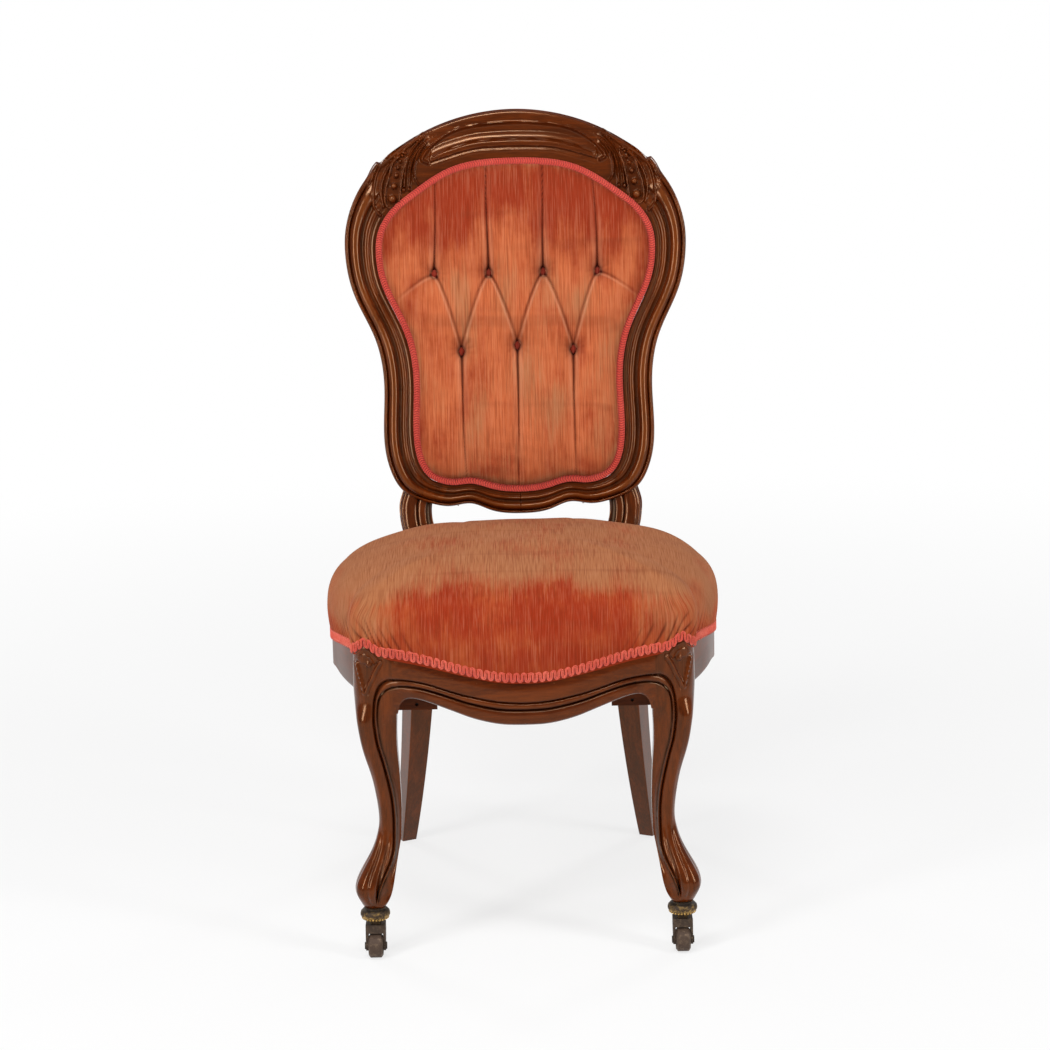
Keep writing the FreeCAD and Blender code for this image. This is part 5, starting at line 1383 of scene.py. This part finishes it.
@dataclass
class Apron:
    """The moulded front rail."""

    plan: SeatPlan
    arch: Arch
    back_y: float = -209.6
    # How far its ends lap the legs, and how much they stand proud there.
    lap: float = 3.6
    proud: float = 0.45

    def rail(self) -> bpy.types.Object:
        """The front rail as a closed loft along its length, with more sections near its ends."""
        rows, front = 300, 84
        u = np.linspace(-1.0, 1.0, rows)
        x = (self.plan.end_x + self.lap) * np.sin(u * math.pi / 2.0)
        face, low = self.plan.bow(x), self.arch.low(x)
        top = self.plan.line(x, np.full(rows, -236.0)) + 0.5
        t = np.linspace(0.0, 1.0, front)
        z = low[:, None] + (top - low)[:, None] * t[None]
        depth, painted_shade, rubbed = self.arch.depth(x[:, None] + 0.0 * z, z, top[:, None])
        knee = (1.0 - ease(z, 290.0, 322.0)) * ease(np.abs(x), 132.0, 152.0)[:, None]
        y = face[:, None] + depth + 4.6 * knee - self.proud * ease(np.abs(x), 140.0, 151.0)[:, None]
        inner_y = np.full((rows, 3), self.back_y)
        ys = np.concatenate([y, inner_y], axis=1)
        ys = np.concatenate([ys, ((y[:, 0] + self.back_y) / 2.0)[:, None]], axis=1)
        zs = np.concatenate([z, top[:, None], ((top + low) / 2.0)[:, None], low[:, None], low[:, None]], axis=1)
        xs = np.broadcast_to(x[:, None], ys.shape)
        pad = np.zeros((rows, 4))
        # The hollow mark carries the painted shade of the grooves.
        hollow = np.concatenate([painted_shade, pad], axis=1)
        crest = np.concatenate([rubbed, pad], axis=1)
        points = np.stack([xs, ys, zs], axis=-1)
        marks = {"hollow": hollow, "crest": crest}
        return make_mesh("front_rail_moulded", points, wrap_cols=True, caps=True, marks=marks, sharp=50.0)

    def build(self) -> None:
        """The front rail."""
        finish = Mahogany("front_rail_mahogany", Grain.ACROSS, body=(0.040, 0.0042, 0.0004))
        settle(self.rail(), finish, "front_seat_rail")


@dataclass
class SideRail:
    """A side rail that follows the seat's plan, its lower edge sweeping up to the front leg."""

    plan: SeatPlan
    side: Side
    thick: float = 24.0
    bottom: float = 302.0
    sweep: float = 23.0

    def rail(self) -> bpy.types.Object:
        """Upright sections along the plan's side, from the front leg back to the rear leg."""
        front, rear = (self.plan.arc(*arc) for arc in self.plan.side_arcs)
        line = np.concatenate([front, rear[1:]])
        length = np.concatenate([[0.0], np.cumsum(np.linalg.norm(np.diff(line, axis=0), axis=1))])
        s = np.linspace(0.0, length[-1] - 0.5, 120)
        outer = np.stack([np.interp(s, length, line[:, k]) for k in (0, 1)], axis=1)
        way = np.gradient(outer, axis=0)
        way /= np.linalg.norm(way, axis=1, keepdims=True)
        inward = np.stack([-way[:, 1], way[:, 0]], axis=1)
        low = self.bottom + self.sweep * ease(-outer[:, 1], -44.0, 96.0)
        top = self.plan.line(outer[:, 0], outer[:, 1]) + 1.0
        profile = ((0.0, 0.10), (0.0, 0.5), (0.0, 1.0), (0.5, 1.0), (1.0, 1.0), (1.0, 0.5), (1.0, 0.0), (0.5, 0.0),
                   (0.16, 0.0), (0.03, 0.03))
        points = np.stack([
            np.column_stack([outer + inward * self.thick * d, low + (top - low) * t]) for d, t in profile], axis=1)
        points[..., 0] *= self.side.value
        marks = {"hollow": np.zeros(points.shape[:2]), "crest": np.zeros(points.shape[:2])}
        return make_mesh(self.side.label + "_rail_swept", points, wrap_cols=True, caps=True, marks=marks, sharp=60.0)

    def build(self) -> None:
        """The side rail."""
        finish = Mahogany(
            self.side.label + "_rail_mahogany", Grain.DEEP, body=(0.050, 0.019, 0.010), gloss=0.36, shine=0.3)
        settle(self.rail(), finish, self.side.label + "_side_rail")


@dataclass
class CabrioleLeg:
    """A front leg: outer and inner edges by height, with a lobed foot and a carved knee."""

    plan: SeatPlan
    arch: Arch
    side: Side
    # How much further forwards than sideways the leg's edges lie, and the knee block's back.
    set_back: float = 31.0
    back_y: float = -185.0
    # Height, outer edge, inner edge and corner radius.
    rows: Tuple[Tuple[float, float, float, float], ...] = (
        (63, 198.0, 174.0, 9.0), (70, 203.0, 169.5, 12.5), (84, 208.8, 164.0, 16.0), (99, 205.6, 160.8, 16.0),
        (114, 197.0, 158.2, 14.5), (129, 188.3, 155.4, 12.0), (145, 182.4, 152.6, 10.5), (162, 179.3, 151.6, 9.5),
        (182, 179.8, 151.0, 9.0), (205, 182.6, 151.3, 8.5), (228, 187.0, 152.0, 8.0), (250, 192.6, 153.2, 8.0),
        (272, 197.0, 153.8, 8.0), (294, 200.0, 153.0, 9.0), (318, 203.0, 152.0, 10.0), (384, 203.0, 152.0, 12.0),
    )
    plaque: Points = ((169.7, 369.6), (175.2, 360.6), (180.7, 348.5), (185.5, 339.4), (189.8, 328.6),
                      (192.4, 340.4), (195.3, 352.8), (198.2, 366.6))
    rims: Tuple[Points, ...] = (
        ((196.9, 372.0), (193.3, 376.4), (187.4, 377.2), (181.6, 374.2), (176.8, 367.4)),
        ((198.6, 379.0), (194.5, 383.6), (188.5, 385.4), (180.2, 381.4), (174.2, 374.8), (169.9, 370.2)),
    )

    def leg(self) -> bpy.types.Object:
        """The leg as level sections whose corners are rounded, cut back to the carved front."""
        table = np.array(self.rows)
        level = np.linspace(table[0, 0], 378.0, 330)
        shape = SmoothCurve(table[:, 0], table[:, 1:], np.array([0.9, -0.8, 0.4]), np.zeros(3))
        outer, inner, radius = shape.at(level).T
        knee = ease(level, 290.0, 322.0)
        square_front = -(outer + self.set_back)
        front_in = square_front * (1 - knee) + self.plan.end_y * knee
        front_out = square_front * (1 - knee) + self.plan.corner[1] * knee
        back = -(inner + self.set_back) * (1 - knee) + self.back_y * knee
        corners = np.stack([
            np.stack([inner, front_in], axis=1), np.stack([outer, front_out], axis=1),
            np.stack([outer, back], axis=1), np.stack([inner, back], axis=1),
        ], axis=1)
        soft = np.minimum(radius, (outer - inner) * 0.48)
        radii = np.stack([
            soft * 0.6 * (1 - ease(level, 268.0, 298.0)) + 0.3, soft * (1 - knee) + self.plan.knee_radius * knee,
            soft * (1 - knee) + 2.0 * knee, soft * (1 - knee) + 2.0 * knee,
        ], axis=1)
        ring = rounded_sections(corners, radii, 18, (64, 12, 10, 12))
        way = np.roll(ring, -1, axis=1) - np.roll(ring, 1, axis=1)
        way /= np.maximum(np.linalg.norm(way, axis=2, keepdims=True), 1e-9)
        normal = np.stack([way[..., 1], -way[..., 0]], axis=-1)
        x, y = ring[..., 0], ring[..., 1]
        raw = np.broadcast_to(level[:, None], x.shape)
        top = self.plan.line(x, y) + 0.5
        z = np.where(raw > 330.0, 330.0 + (raw - 330.0) * (top - 330.0) / 48.0, raw)
        along = np.clip((x - inner[:, None]) / (outer - inner)[:, None], 0.0, 1.0)
        plain = front_in[:, None] + (front_out - front_in)[:, None] * along
        depth, painted_shade, rubbed = self.arch.depth(x, z, top)
        low_fade = ease(z, 64.0, 84.0)
        carved = plain + depth * low_fade
        facing = np.clip(-normal[..., 1], 0.0, 1.0)
        y_cut = np.maximum(y, carved)
        front = (y_cut - y > 0.01) | (ring[..., 1] < plain + 0.8)
        out = self.ornament(x, z, facing, normal) + self.foot(x, y_cut, z, inner[:, None], outer[:, None])
        x = x + normal[..., 0] * out
        y = y_cut + normal[..., 1] * out
        # Painted shade in the grooves of the arch and in the sunk parts of the ornament and foot.
        hollow = np.clip(painted_shade * front * low_fade * 0.9 + ease(-out, 0.9, 3.0) * 0.42, 0.0, 1.0)
        crest = np.clip(ease(out, 0.8, 1.8) + rubbed * front + bell(z - 92.0, 16.0) * 0.5, 0.0, 1.0)
        points = np.stack([x * self.side.value, y, z], axis=-1)
        marks = {"hollow": hollow, "crest": crest}
        return make_mesh(self.side.label + "_cabriole", points, wrap_cols=True, caps=True, marks=marks, sharp=52.0)

    def ornament(self, x: Array, z: Array, facing: Array, normal: Array) -> Array:
        """The knee's plaque: raised edges that meet in a point, a hollow field, two rims and a boss.

        Below its point an arris runs down the leg, just inside the outer edge.
        """
        turned = np.clip(facing * 0.9 + np.clip(normal[..., 0], 0.0, 1.0) * 0.5, 0.0, 1.0) ** 0.6
        turned = np.where(normal[..., 1] < 0.2, turned, 0.0)
        plaque = smooth_path(self.plaque, 4)
        closed = [*plaque, plaque[0]]
        gap = path_distance(x, z, plaque)
        inside = path_side(x, z, closed) > 0.0
        field_depth = -3.4 * ease(gap, 0.8, 5.5) * inside
        out = field_depth + 2.0 * bell(gap, 1.25) - 1.2 * bell(gap - 3.0, 1.0) * (~inside)
        for path in self.rims:
            near = path_distance(x, z, smooth_path(path, 4))
            out = np.maximum(out, 2.6 * bell(near, 1.3) - 1.6)
        ball = np.hypot(x - 184.0, z - 366.6)
        out = np.maximum(out, 3.4 * dome(ball, 4.2) - 2.0)
        out = out * ease(z, 326.0, 331.0) * (x > 166.0)
        arris_x = np.interp(z, (100, 150, 200, 250, 290, 329), (186, 172, 174, 183, 188.5, 189.6))
        arris = 0.9 * bell(x - arris_x, 3.0) - 0.7 * bell(x - arris_x - 6.0, 3.0)
        return (out + arris * ease(-z, -306.0, -274.0) * ease(z, 120.0, 160.0)) * turned

    def foot(self, x: Array, y: Array, z: Array, inner: Array, outer: Array) -> Array:
        """Flutes that part the foot into lobes: bells about set directions round its middle."""
        strength = ease(z, 64.0, 78.0) * (1.0 - ease(z, 118.0, 165.0))
        middle_x, middle_y = (inner + outer) / 2.0, -((inner + outer) / 2.0 + self.set_back)
        angle = np.degrees(np.arctan2(y - middle_y, x - middle_x))
        out = np.zeros_like(x)
        for at, width, deep in ((-104.0, 7.0, 2.8), (-70.0, 6.0, 2.0), (-20.0, 10.0, 1.6), (60.0, 12.0, 1.5)):
            turn = (angle - at - (z - 90.0) * 0.22 + 180.0) % 360.0 - 180.0
            out = out - deep * bell(turn, width)
        return out * strength

    def build(self) -> None:
        """The leg."""
        finish = Mahogany(self.side.label + "_leg_mahogany", Grain.UPRIGHT)
        settle(self.leg(), finish, self.side.label + "_front_leg")


@dataclass
class RearLeg:
    """A sabre leg with the reeded stump that carries the balloon."""

    ring: BalloonRing
    side: Side
    turn: float = 27.0
    # The lower part ends under the seat rail, the stump begins above it.
    post_top: float = 296.0
    stump_low: float = 352.0
    foot: Tuple[float, float, float] = (167.0, 219.0, 20.5)
    post: Tuple[float, float, float] = (139.0, 126.0, 34.5)
    stump: Tuple[Tuple[float, ...], ...] = (
        (352, 139.0, 126.0, 15.0, 15.0, -20.0, 1.6), (385, 135.5, 127.5, 17.5, 13.5, -12.0, 5.0),
        (420, 131.5, 131.5, 20.5, 12.0, -5.0, 7.0), (447, 133.0, 136.0, 21.4, 11.2, 0.0, 8.0),
        (462, 136.6, 139.5, 21.2, 11.0, 0.0, 8.0), (475, 138.0, 142.5, 21.2, 10.7, 0.0, 8.0),
        (487, 137.2, 145.0, 21.6, 10.5, 0.0, 8.0), (504, 131.5, 148.8, 22.2, 10.5, 0.0, 8.0),
    )

    def leg(self) -> bpy.types.Object:
        """Turned squares up the sabre and the post, then the swelling stump with its reeds."""
        low = np.linspace(0.0, self.post_top, 60)
        share = low / self.post_top
        spread = (1.0 - share) ** 1.45
        side = self.foot[2] + (self.post[2] - self.foot[2]) * share**0.8
        lower = np.stack([
            low, self.post[0] + (self.foot[0] - self.post[0]) * spread,
            self.post[1] + (self.foot[1] - self.post[1]) * spread, side / 2, side / 2,
            np.full(60, -self.turn), np.full(60, 1.6)], axis=1)
        table = np.array(self.stump)
        high = np.linspace(self.stump_low, 507.0, 90)
        upper = SmoothCurve(table[:, 0], table[:, 1:], np.zeros(6), (table[-1, 1:] - table[-2, 1:]) / 17.0).at(high)
        rows = np.concatenate([lower, np.column_stack([high, upper])])
        a = np.radians(rows[:, 5])
        signs = np.array([(-1, -1), (1, -1), (1, 1), (-1, 1)], dtype=float)
        u, v = signs[:, 0] * rows[:, 3:4], signs[:, 1] * rows[:, 4:5]
        cos, sin = np.cos(a)[:, None], np.sin(a)[:, None]
        corners = np.stack([rows[:, 1:2] + u * cos - v * sin, rows[:, 2:3] + u * sin + v * cos], axis=-1)
        ring = rounded_sections(corners, np.repeat(rows[:, 6:7], 4, axis=1), 9, (48, 10, 14, 10))
        way = np.roll(ring, -1, axis=1) - np.roll(ring, 1, axis=1)
        way /= np.maximum(np.linalg.norm(way, axis=2, keepdims=True), 1e-9)
        normal = np.stack([way[..., 1], -way[..., 0]], axis=-1)
        z = np.broadcast_to(rows[:, :1], ring.shape[:2])
        across = (ring[..., 0] - rows[:, 1:2]) / np.maximum(rows[:, 3:4], 1.0)
        facing = np.clip(-normal[..., 1], 0.0, 1.0) ** 0.4
        reeds = 4.2 * dome(across - 0.33, 0.42) + 3.0 * dome(across + 0.40, 0.28) + 1.8 * dome(across - 0.86, 0.13)
        out = facing * (reeds - 3.4) * ease(z, 400.0, 440.0)
        points = np.stack([
            (ring[..., 0] + normal[..., 0] * out) * self.side.value, ring[..., 1] + normal[..., 1] * out, z], axis=-1)
        # Painted shade in the grooves between the reeds.
        marks = {"hollow": ease(-out, 1.0, 3.2), "crest": ease(out, 0.8, 1.6)}
        return make_mesh(self.side.label + "_sabre", points, wrap_cols=True, caps=True, marks=marks, sharp=40.0)

    def build(self) -> None:
        """The leg, under the balloon's edge."""
        finish = Mahogany(self.side.label + "_sabre_mahogany", Grain.UPRIGHT)
        settle(self.leg(), finish, self.side.label + "_rear_leg")


@dataclass
class Caster:
    """A furniture caster: beaded ring socket, square-crowned fork, axle and wheel."""

    side: Side
    centre: Tuple[float, float] = (186.0, -217.0)
    profile: Points = ((0.01, 29.2), (4.8, 29.2), (4.8, 30.3), (3.5, 30.3), (3.5, 40.6), (6.2, 40.6), (6.2, 43.2),
                       (8.5, 43.4), (11.0, 45.2), (13.2, 46.6), (16.6, 50.2), (17.9, 52.0), (18.0, 54.0), (17.4, 56.4),
                       (15.4, 58.6), (12.6, 59.6), (12.4, 61.4), (13.4, 62.9), (4.0, 63.0), (4.0, 94.0), (0.01, 94.0))

    def socket(self) -> bpy.types.Object:
        """The ring turned from its profile, with beads pressed round its lower flank."""
        x0, y0 = self.centre[0] * self.side.value, self.centre[1]
        pts = np.array(self.profile)
        angle = np.linspace(0.0, 2.0 * math.pi, 60, endpoint=False)
        ring = np.stack([
            x0 + pts[:, :1] * np.cos(angle), y0 + pts[:, :1] * np.sin(angle), pts[:, 1:] + 0.0 * angle], axis=-1)
        hollow = np.repeat(ease(np.abs(pts[:, 1] - 60.0), 3.0, 0.0)[:, None], 60, axis=1)
        crest = np.repeat(0.5 * bell(pts[:, 1] - 51.0, 2.2)[:, None], 60, axis=1)
        body = make_mesh("ring", ring, wrap_cols=True, caps=True, marks={"hollow": hollow, "crest": crest}, sharp=35.0)
        parts = [body]
        beads = 26
        for i in range(beads):
            a = 2.0 * math.pi * i / beads
            at = (x0 + 15.4 * math.cos(a), y0 + 15.4 * math.sin(a), 48.9)
            parts.append(self.bead("bead_%d" % i, at, 1.55))
        return join_pieces(self.side.label + "_socket_beaded", parts)

    def bead(self, name: str, at: Tuple[float, float, float], radius: float) -> bpy.types.Object:
        """A small ball of a few faces."""
        tilt = np.linspace(0.05, math.pi - 0.05, 5)[:, None]
        turn = np.linspace(0.0, 2.0 * math.pi, 7, endpoint=False)
        points = np.stack([
            at[0] + radius * np.sin(tilt) * np.cos(turn), at[1] + radius * np.sin(tilt) * np.sin(turn),
            at[2] + radius * np.cos(tilt) + 0.0 * turn], axis=-1)
        marks = {"hollow": np.zeros(points.shape[:2]), "crest": np.ones(points.shape[:2])}
        return make_mesh(name, points, wrap_cols=True, caps=True, marks=marks, sharp=80.0)

    def build(self) -> None:
        """Socket new; fork, axle and wheel keep their solids."""
        label = self.side.label
        brass = Metal(label + "_brass_patina", (0.040, 0.022, 0.011), (0.46, 0.28, 0.085), 0.30, 0.30)
        settle(self.socket(), brass, label + "_caster_socket")
        iron = Metal(label + "_fork_worn", (0.055, 0.034, 0.022), (0.20, 0.135, 0.085), 0.38, 0.3)
        keep(label + "_caster_fork", iron)
        keep(label + "_caster_axle", Metal(label + "_axle_worn", (0.03, 0.02, 0.015), (0.16, 0.12, 0.09), 0.4))
        keep(label + "_caster_wheel", Metal(label + "_wheel_worn", (0.075, 0.045, 0.030), (0.24, 0.165, 0.11), 0.36))


@dataclass
class HiddenParts:
    """The inner pieces: most keep their solids, and the block screws are made anew."""

    screw_z: float = 311.5
    screw_run: Tuple[float, ...] = (0.0, 2.5, 2.7, 12.0)
    screw_radius: Tuple[float, ...] = (4.0, 4.0, 2.0, 2.0)
    heads: Tuple[Tuple[float, float, float, float], ...] = (
        (128.0, -193.0, 0.05, -1.0), (168.0, -166.0, 0.96, 0.2), (118.0, 107.8, -0.1, 1.0), (176.0, 69.0, 0.9, 0.44),
    )

    def screws(self) -> bpy.types.Object:
        """The block screws as turned rods: a flat head, then a shank that ends inside the block."""
        parts = []
        for side in Side:
            for i, (x, y, way_x, way_y) in enumerate(self.heads):
                run = np.array(self.screw_run)[:, None] / math.hypot(way_x, way_y)
                path = np.array([x, y, self.screw_z]) + run * np.array([way_x, way_y, 0.0])
                path[:, 0] *= side.value
                parts.append(tube(f"{side.label}_screw_{i}", path, np.array(self.screw_radius), sides=20))
        return join_pieces("block_screws", parts)

    def build(self) -> None:
        """Gives each of them its finish."""
        keep("rear_seat_rail", Mahogany("rear_rail_mahogany", Grain.ACROSS, carved=False, gloss=0.4))
        keep("back_dowels", PlainWood("back_dowel_birch", Grain.UPRIGHT))
        keep("seat_rail_dowels", PlainWood("rail_dowel_birch"))
        # Corner blocks and ledges get dark polished wood as painted shade, so that they read as the shade under the
        # seat.
        keep("corner_blocks", Mahogany("corner_block_stained", Grain.ACROSS, carved=False, gloss=0.55, shine=0.2))
        keep("webbing_ledges", Mahogany("ledge_stained", Grain.DEEP, carved=False, gloss=0.55, shine=0.2))
        steel = Metal("block_screw_steel", (0.030, 0.022, 0.018), (0.11, 0.085, 0.07))
        settle(self.screws(), steel, "corner_block_screws")
        keep("seat_springs", Metal("spring_wire_steel", (0.10, 0.09, 0.08), (0.42, 0.40, 0.37)))
        keep("seat_webbing", Woven("seat_webbing_weave"))
        keep("back_webbing", Woven("back_webbing_weave"))
        keep("spring_canvas", Woven("spring_canvas_weave", (0.42, 0.31, 0.17), (0.22, 0.15, 0.08), 1.1))


# The studio

@dataclass
class Studio:
    """Camera, floor and soft lamps."""

    eye: Tuple[float, float, float] = (0.005, -3.204, 1.156)
    pitch: float = 11.85
    roll: float = 1.2
    focal_px: float = 2600.0
    ambient: float = 0.30
    photo_px: float = 1050.0

    def camera(self) -> None:
        """A camera where the photographer stood: looking down by the pitch, tipped by the roll."""
        p, r = math.radians(self.pitch), math.radians(self.roll)
        forward = Vector((0.0, math.cos(p), -math.sin(p)))
        level = Vector((1.0, 0.0, 0.0))
        above = level.cross(forward)
        right = level * math.cos(r) - above * math.sin(r)
        up = level * math.sin(r) + above * math.cos(r)
        lens = bpy.data.cameras.new("camera")
        lens.sensor_width = 36.0
        lens.lens = self.focal_px / self.photo_px * 36.0
        lens.clip_end = 50.0
        eye = bpy.data.objects.new("camera", lens)
        turn = Matrix((right, up, -forward)).transposed().to_4x4()
        eye.matrix_world = Matrix.Translation(self.eye) @ turn
        bpy.context.scene.collection.objects.link(eye)
        bpy.context.scene.camera = eye

    def lamp(self, name: str, at: Tuple[float, float, float], width: float, height: float, power: float) -> None:
        """A soft rectangular lamp aimed at the chair's middle."""
        light = bpy.data.lights.new(name, "AREA")
        light.shape = "RECTANGLE"
        light.size, light.size_y, light.energy = width, height, power
        lamp = bpy.data.objects.new(name, light)
        lamp.location = at
        aim = Vector((0.0, 0.0, 0.5)) - Vector(at)
        lamp.rotation_euler = aim.to_track_quat("-Z", "Y").to_euler()
        bpy.context.scene.collection.objects.link(lamp)

    def room(self) -> None:
        """A pale floor and backdrop that the camera sees as white, apart from the chair's shadow."""
        corners = [[[-30000, -9000, 0], [30000, -9000, 0]], [[-30000, 30000, 0], [30000, 30000, 0]]]
        floor = make_mesh("floor", np.array(corners, dtype=float))
        corners = [[[-30000, 30000, 0], [30000, 30000, 0]], [[-30000, 30000, 20000], [30000, 30000, 20000]]]
        backdrop = make_mesh("backdrop", np.array(corners, dtype=float))
        for piece, near in ((floor, 0.72), (backdrop, 1.0)):
            g = Graph(piece.name + "_white")
            g.finish(Base_Color=(0.80, 0.80, 0.80), Roughness=0.9)
            far = g.node("VectorMath", {"operation": "LENGTH"}, {0: g.place()}, out="Value")
            glow = g.tree.nodes.new("ShaderNodeEmission")
            mix = g.tree.nodes.new("ShaderNodeMixShader")
            g.feed(mix.inputs[0], g.seen_directly() * (g.band(far, 0.5, 3.0) * (1.0 - near) + near))
            g.tree.links.new(g.shader.outputs[0], mix.inputs[1])
            g.tree.links.new(glow.outputs[0], mix.inputs[2])
            g.tree.links.new(mix.outputs[0], g.output.inputs[0])
            piece.data.materials.append(g.material)
        world = bpy.data.worlds.new("studio")
        bpy.context.scene.world = world
        world.use_nodes = True
        soft = world.node_tree.nodes["Background"]
        soft.inputs[0].default_value = (1.0, 1.0, 1.0, 1.0)
        soft.inputs[1].default_value = self.ambient
        tree = world.node_tree
        white = tree.nodes.new("ShaderNodeBackground")
        white.inputs[0].default_value = (1.0, 1.0, 1.0, 1.0)
        white.inputs[1].default_value = 1.0
        path, mix = tree.nodes.new("ShaderNodeLightPath"), tree.nodes.new("ShaderNodeMixShader")
        tree.links.new(path.outputs["Is Camera Ray"], mix.inputs[0])
        tree.links.new(soft.outputs[0], mix.inputs[1])
        tree.links.new(white.outputs[0], mix.inputs[2])
        tree.links.new(mix.outputs[0], tree.nodes["World Output"].inputs[0])

    def build(self) -> None:
        """Camera, room and lamps."""
        self.camera()
        self.room()
        self.lamp("left_softbox", (-1.75, -1.75, 1.45), 0.50, 1.7, 38.0)
        self.lamp("right_softbox", (1.95, -1.35, 1.35), 0.42, 1.6, 30.0)
        self.lamp("overhead", (-0.3, -1.1, 2.5), 0.9, 0.4, 25.0)
        self.lamp("rear_left", (-1.6, 1.8, 1.6), 0.5, 1.4, 12.0)
        self.lamp("rear_right", (1.6, 1.8, 1.6), 0.5, 1.4, 12.0)
        bpy.context.scene.view_settings.view_transform = "Standard"


def main() -> None:
    """Builds the chair from the studio up."""
    logging.basicConfig(level=logging.INFO, format="%(message)s")
    Studio().build()
    plan = SeatPlan()
    ring = BalloonRing()
    ring.build()
    TuftedPanel(ring).build()
    SeatCushion(plan).build()
    arch = Arch()
    Apron(plan, arch).build()
    for side in Side:
        SideRail(plan, side).build()
        CabrioleLeg(plan, arch, side).build()
        RearLeg(ring, side).build()
        Caster(side).build()
    HiddenParts().build()


if __name__ == "__main__":
    main()
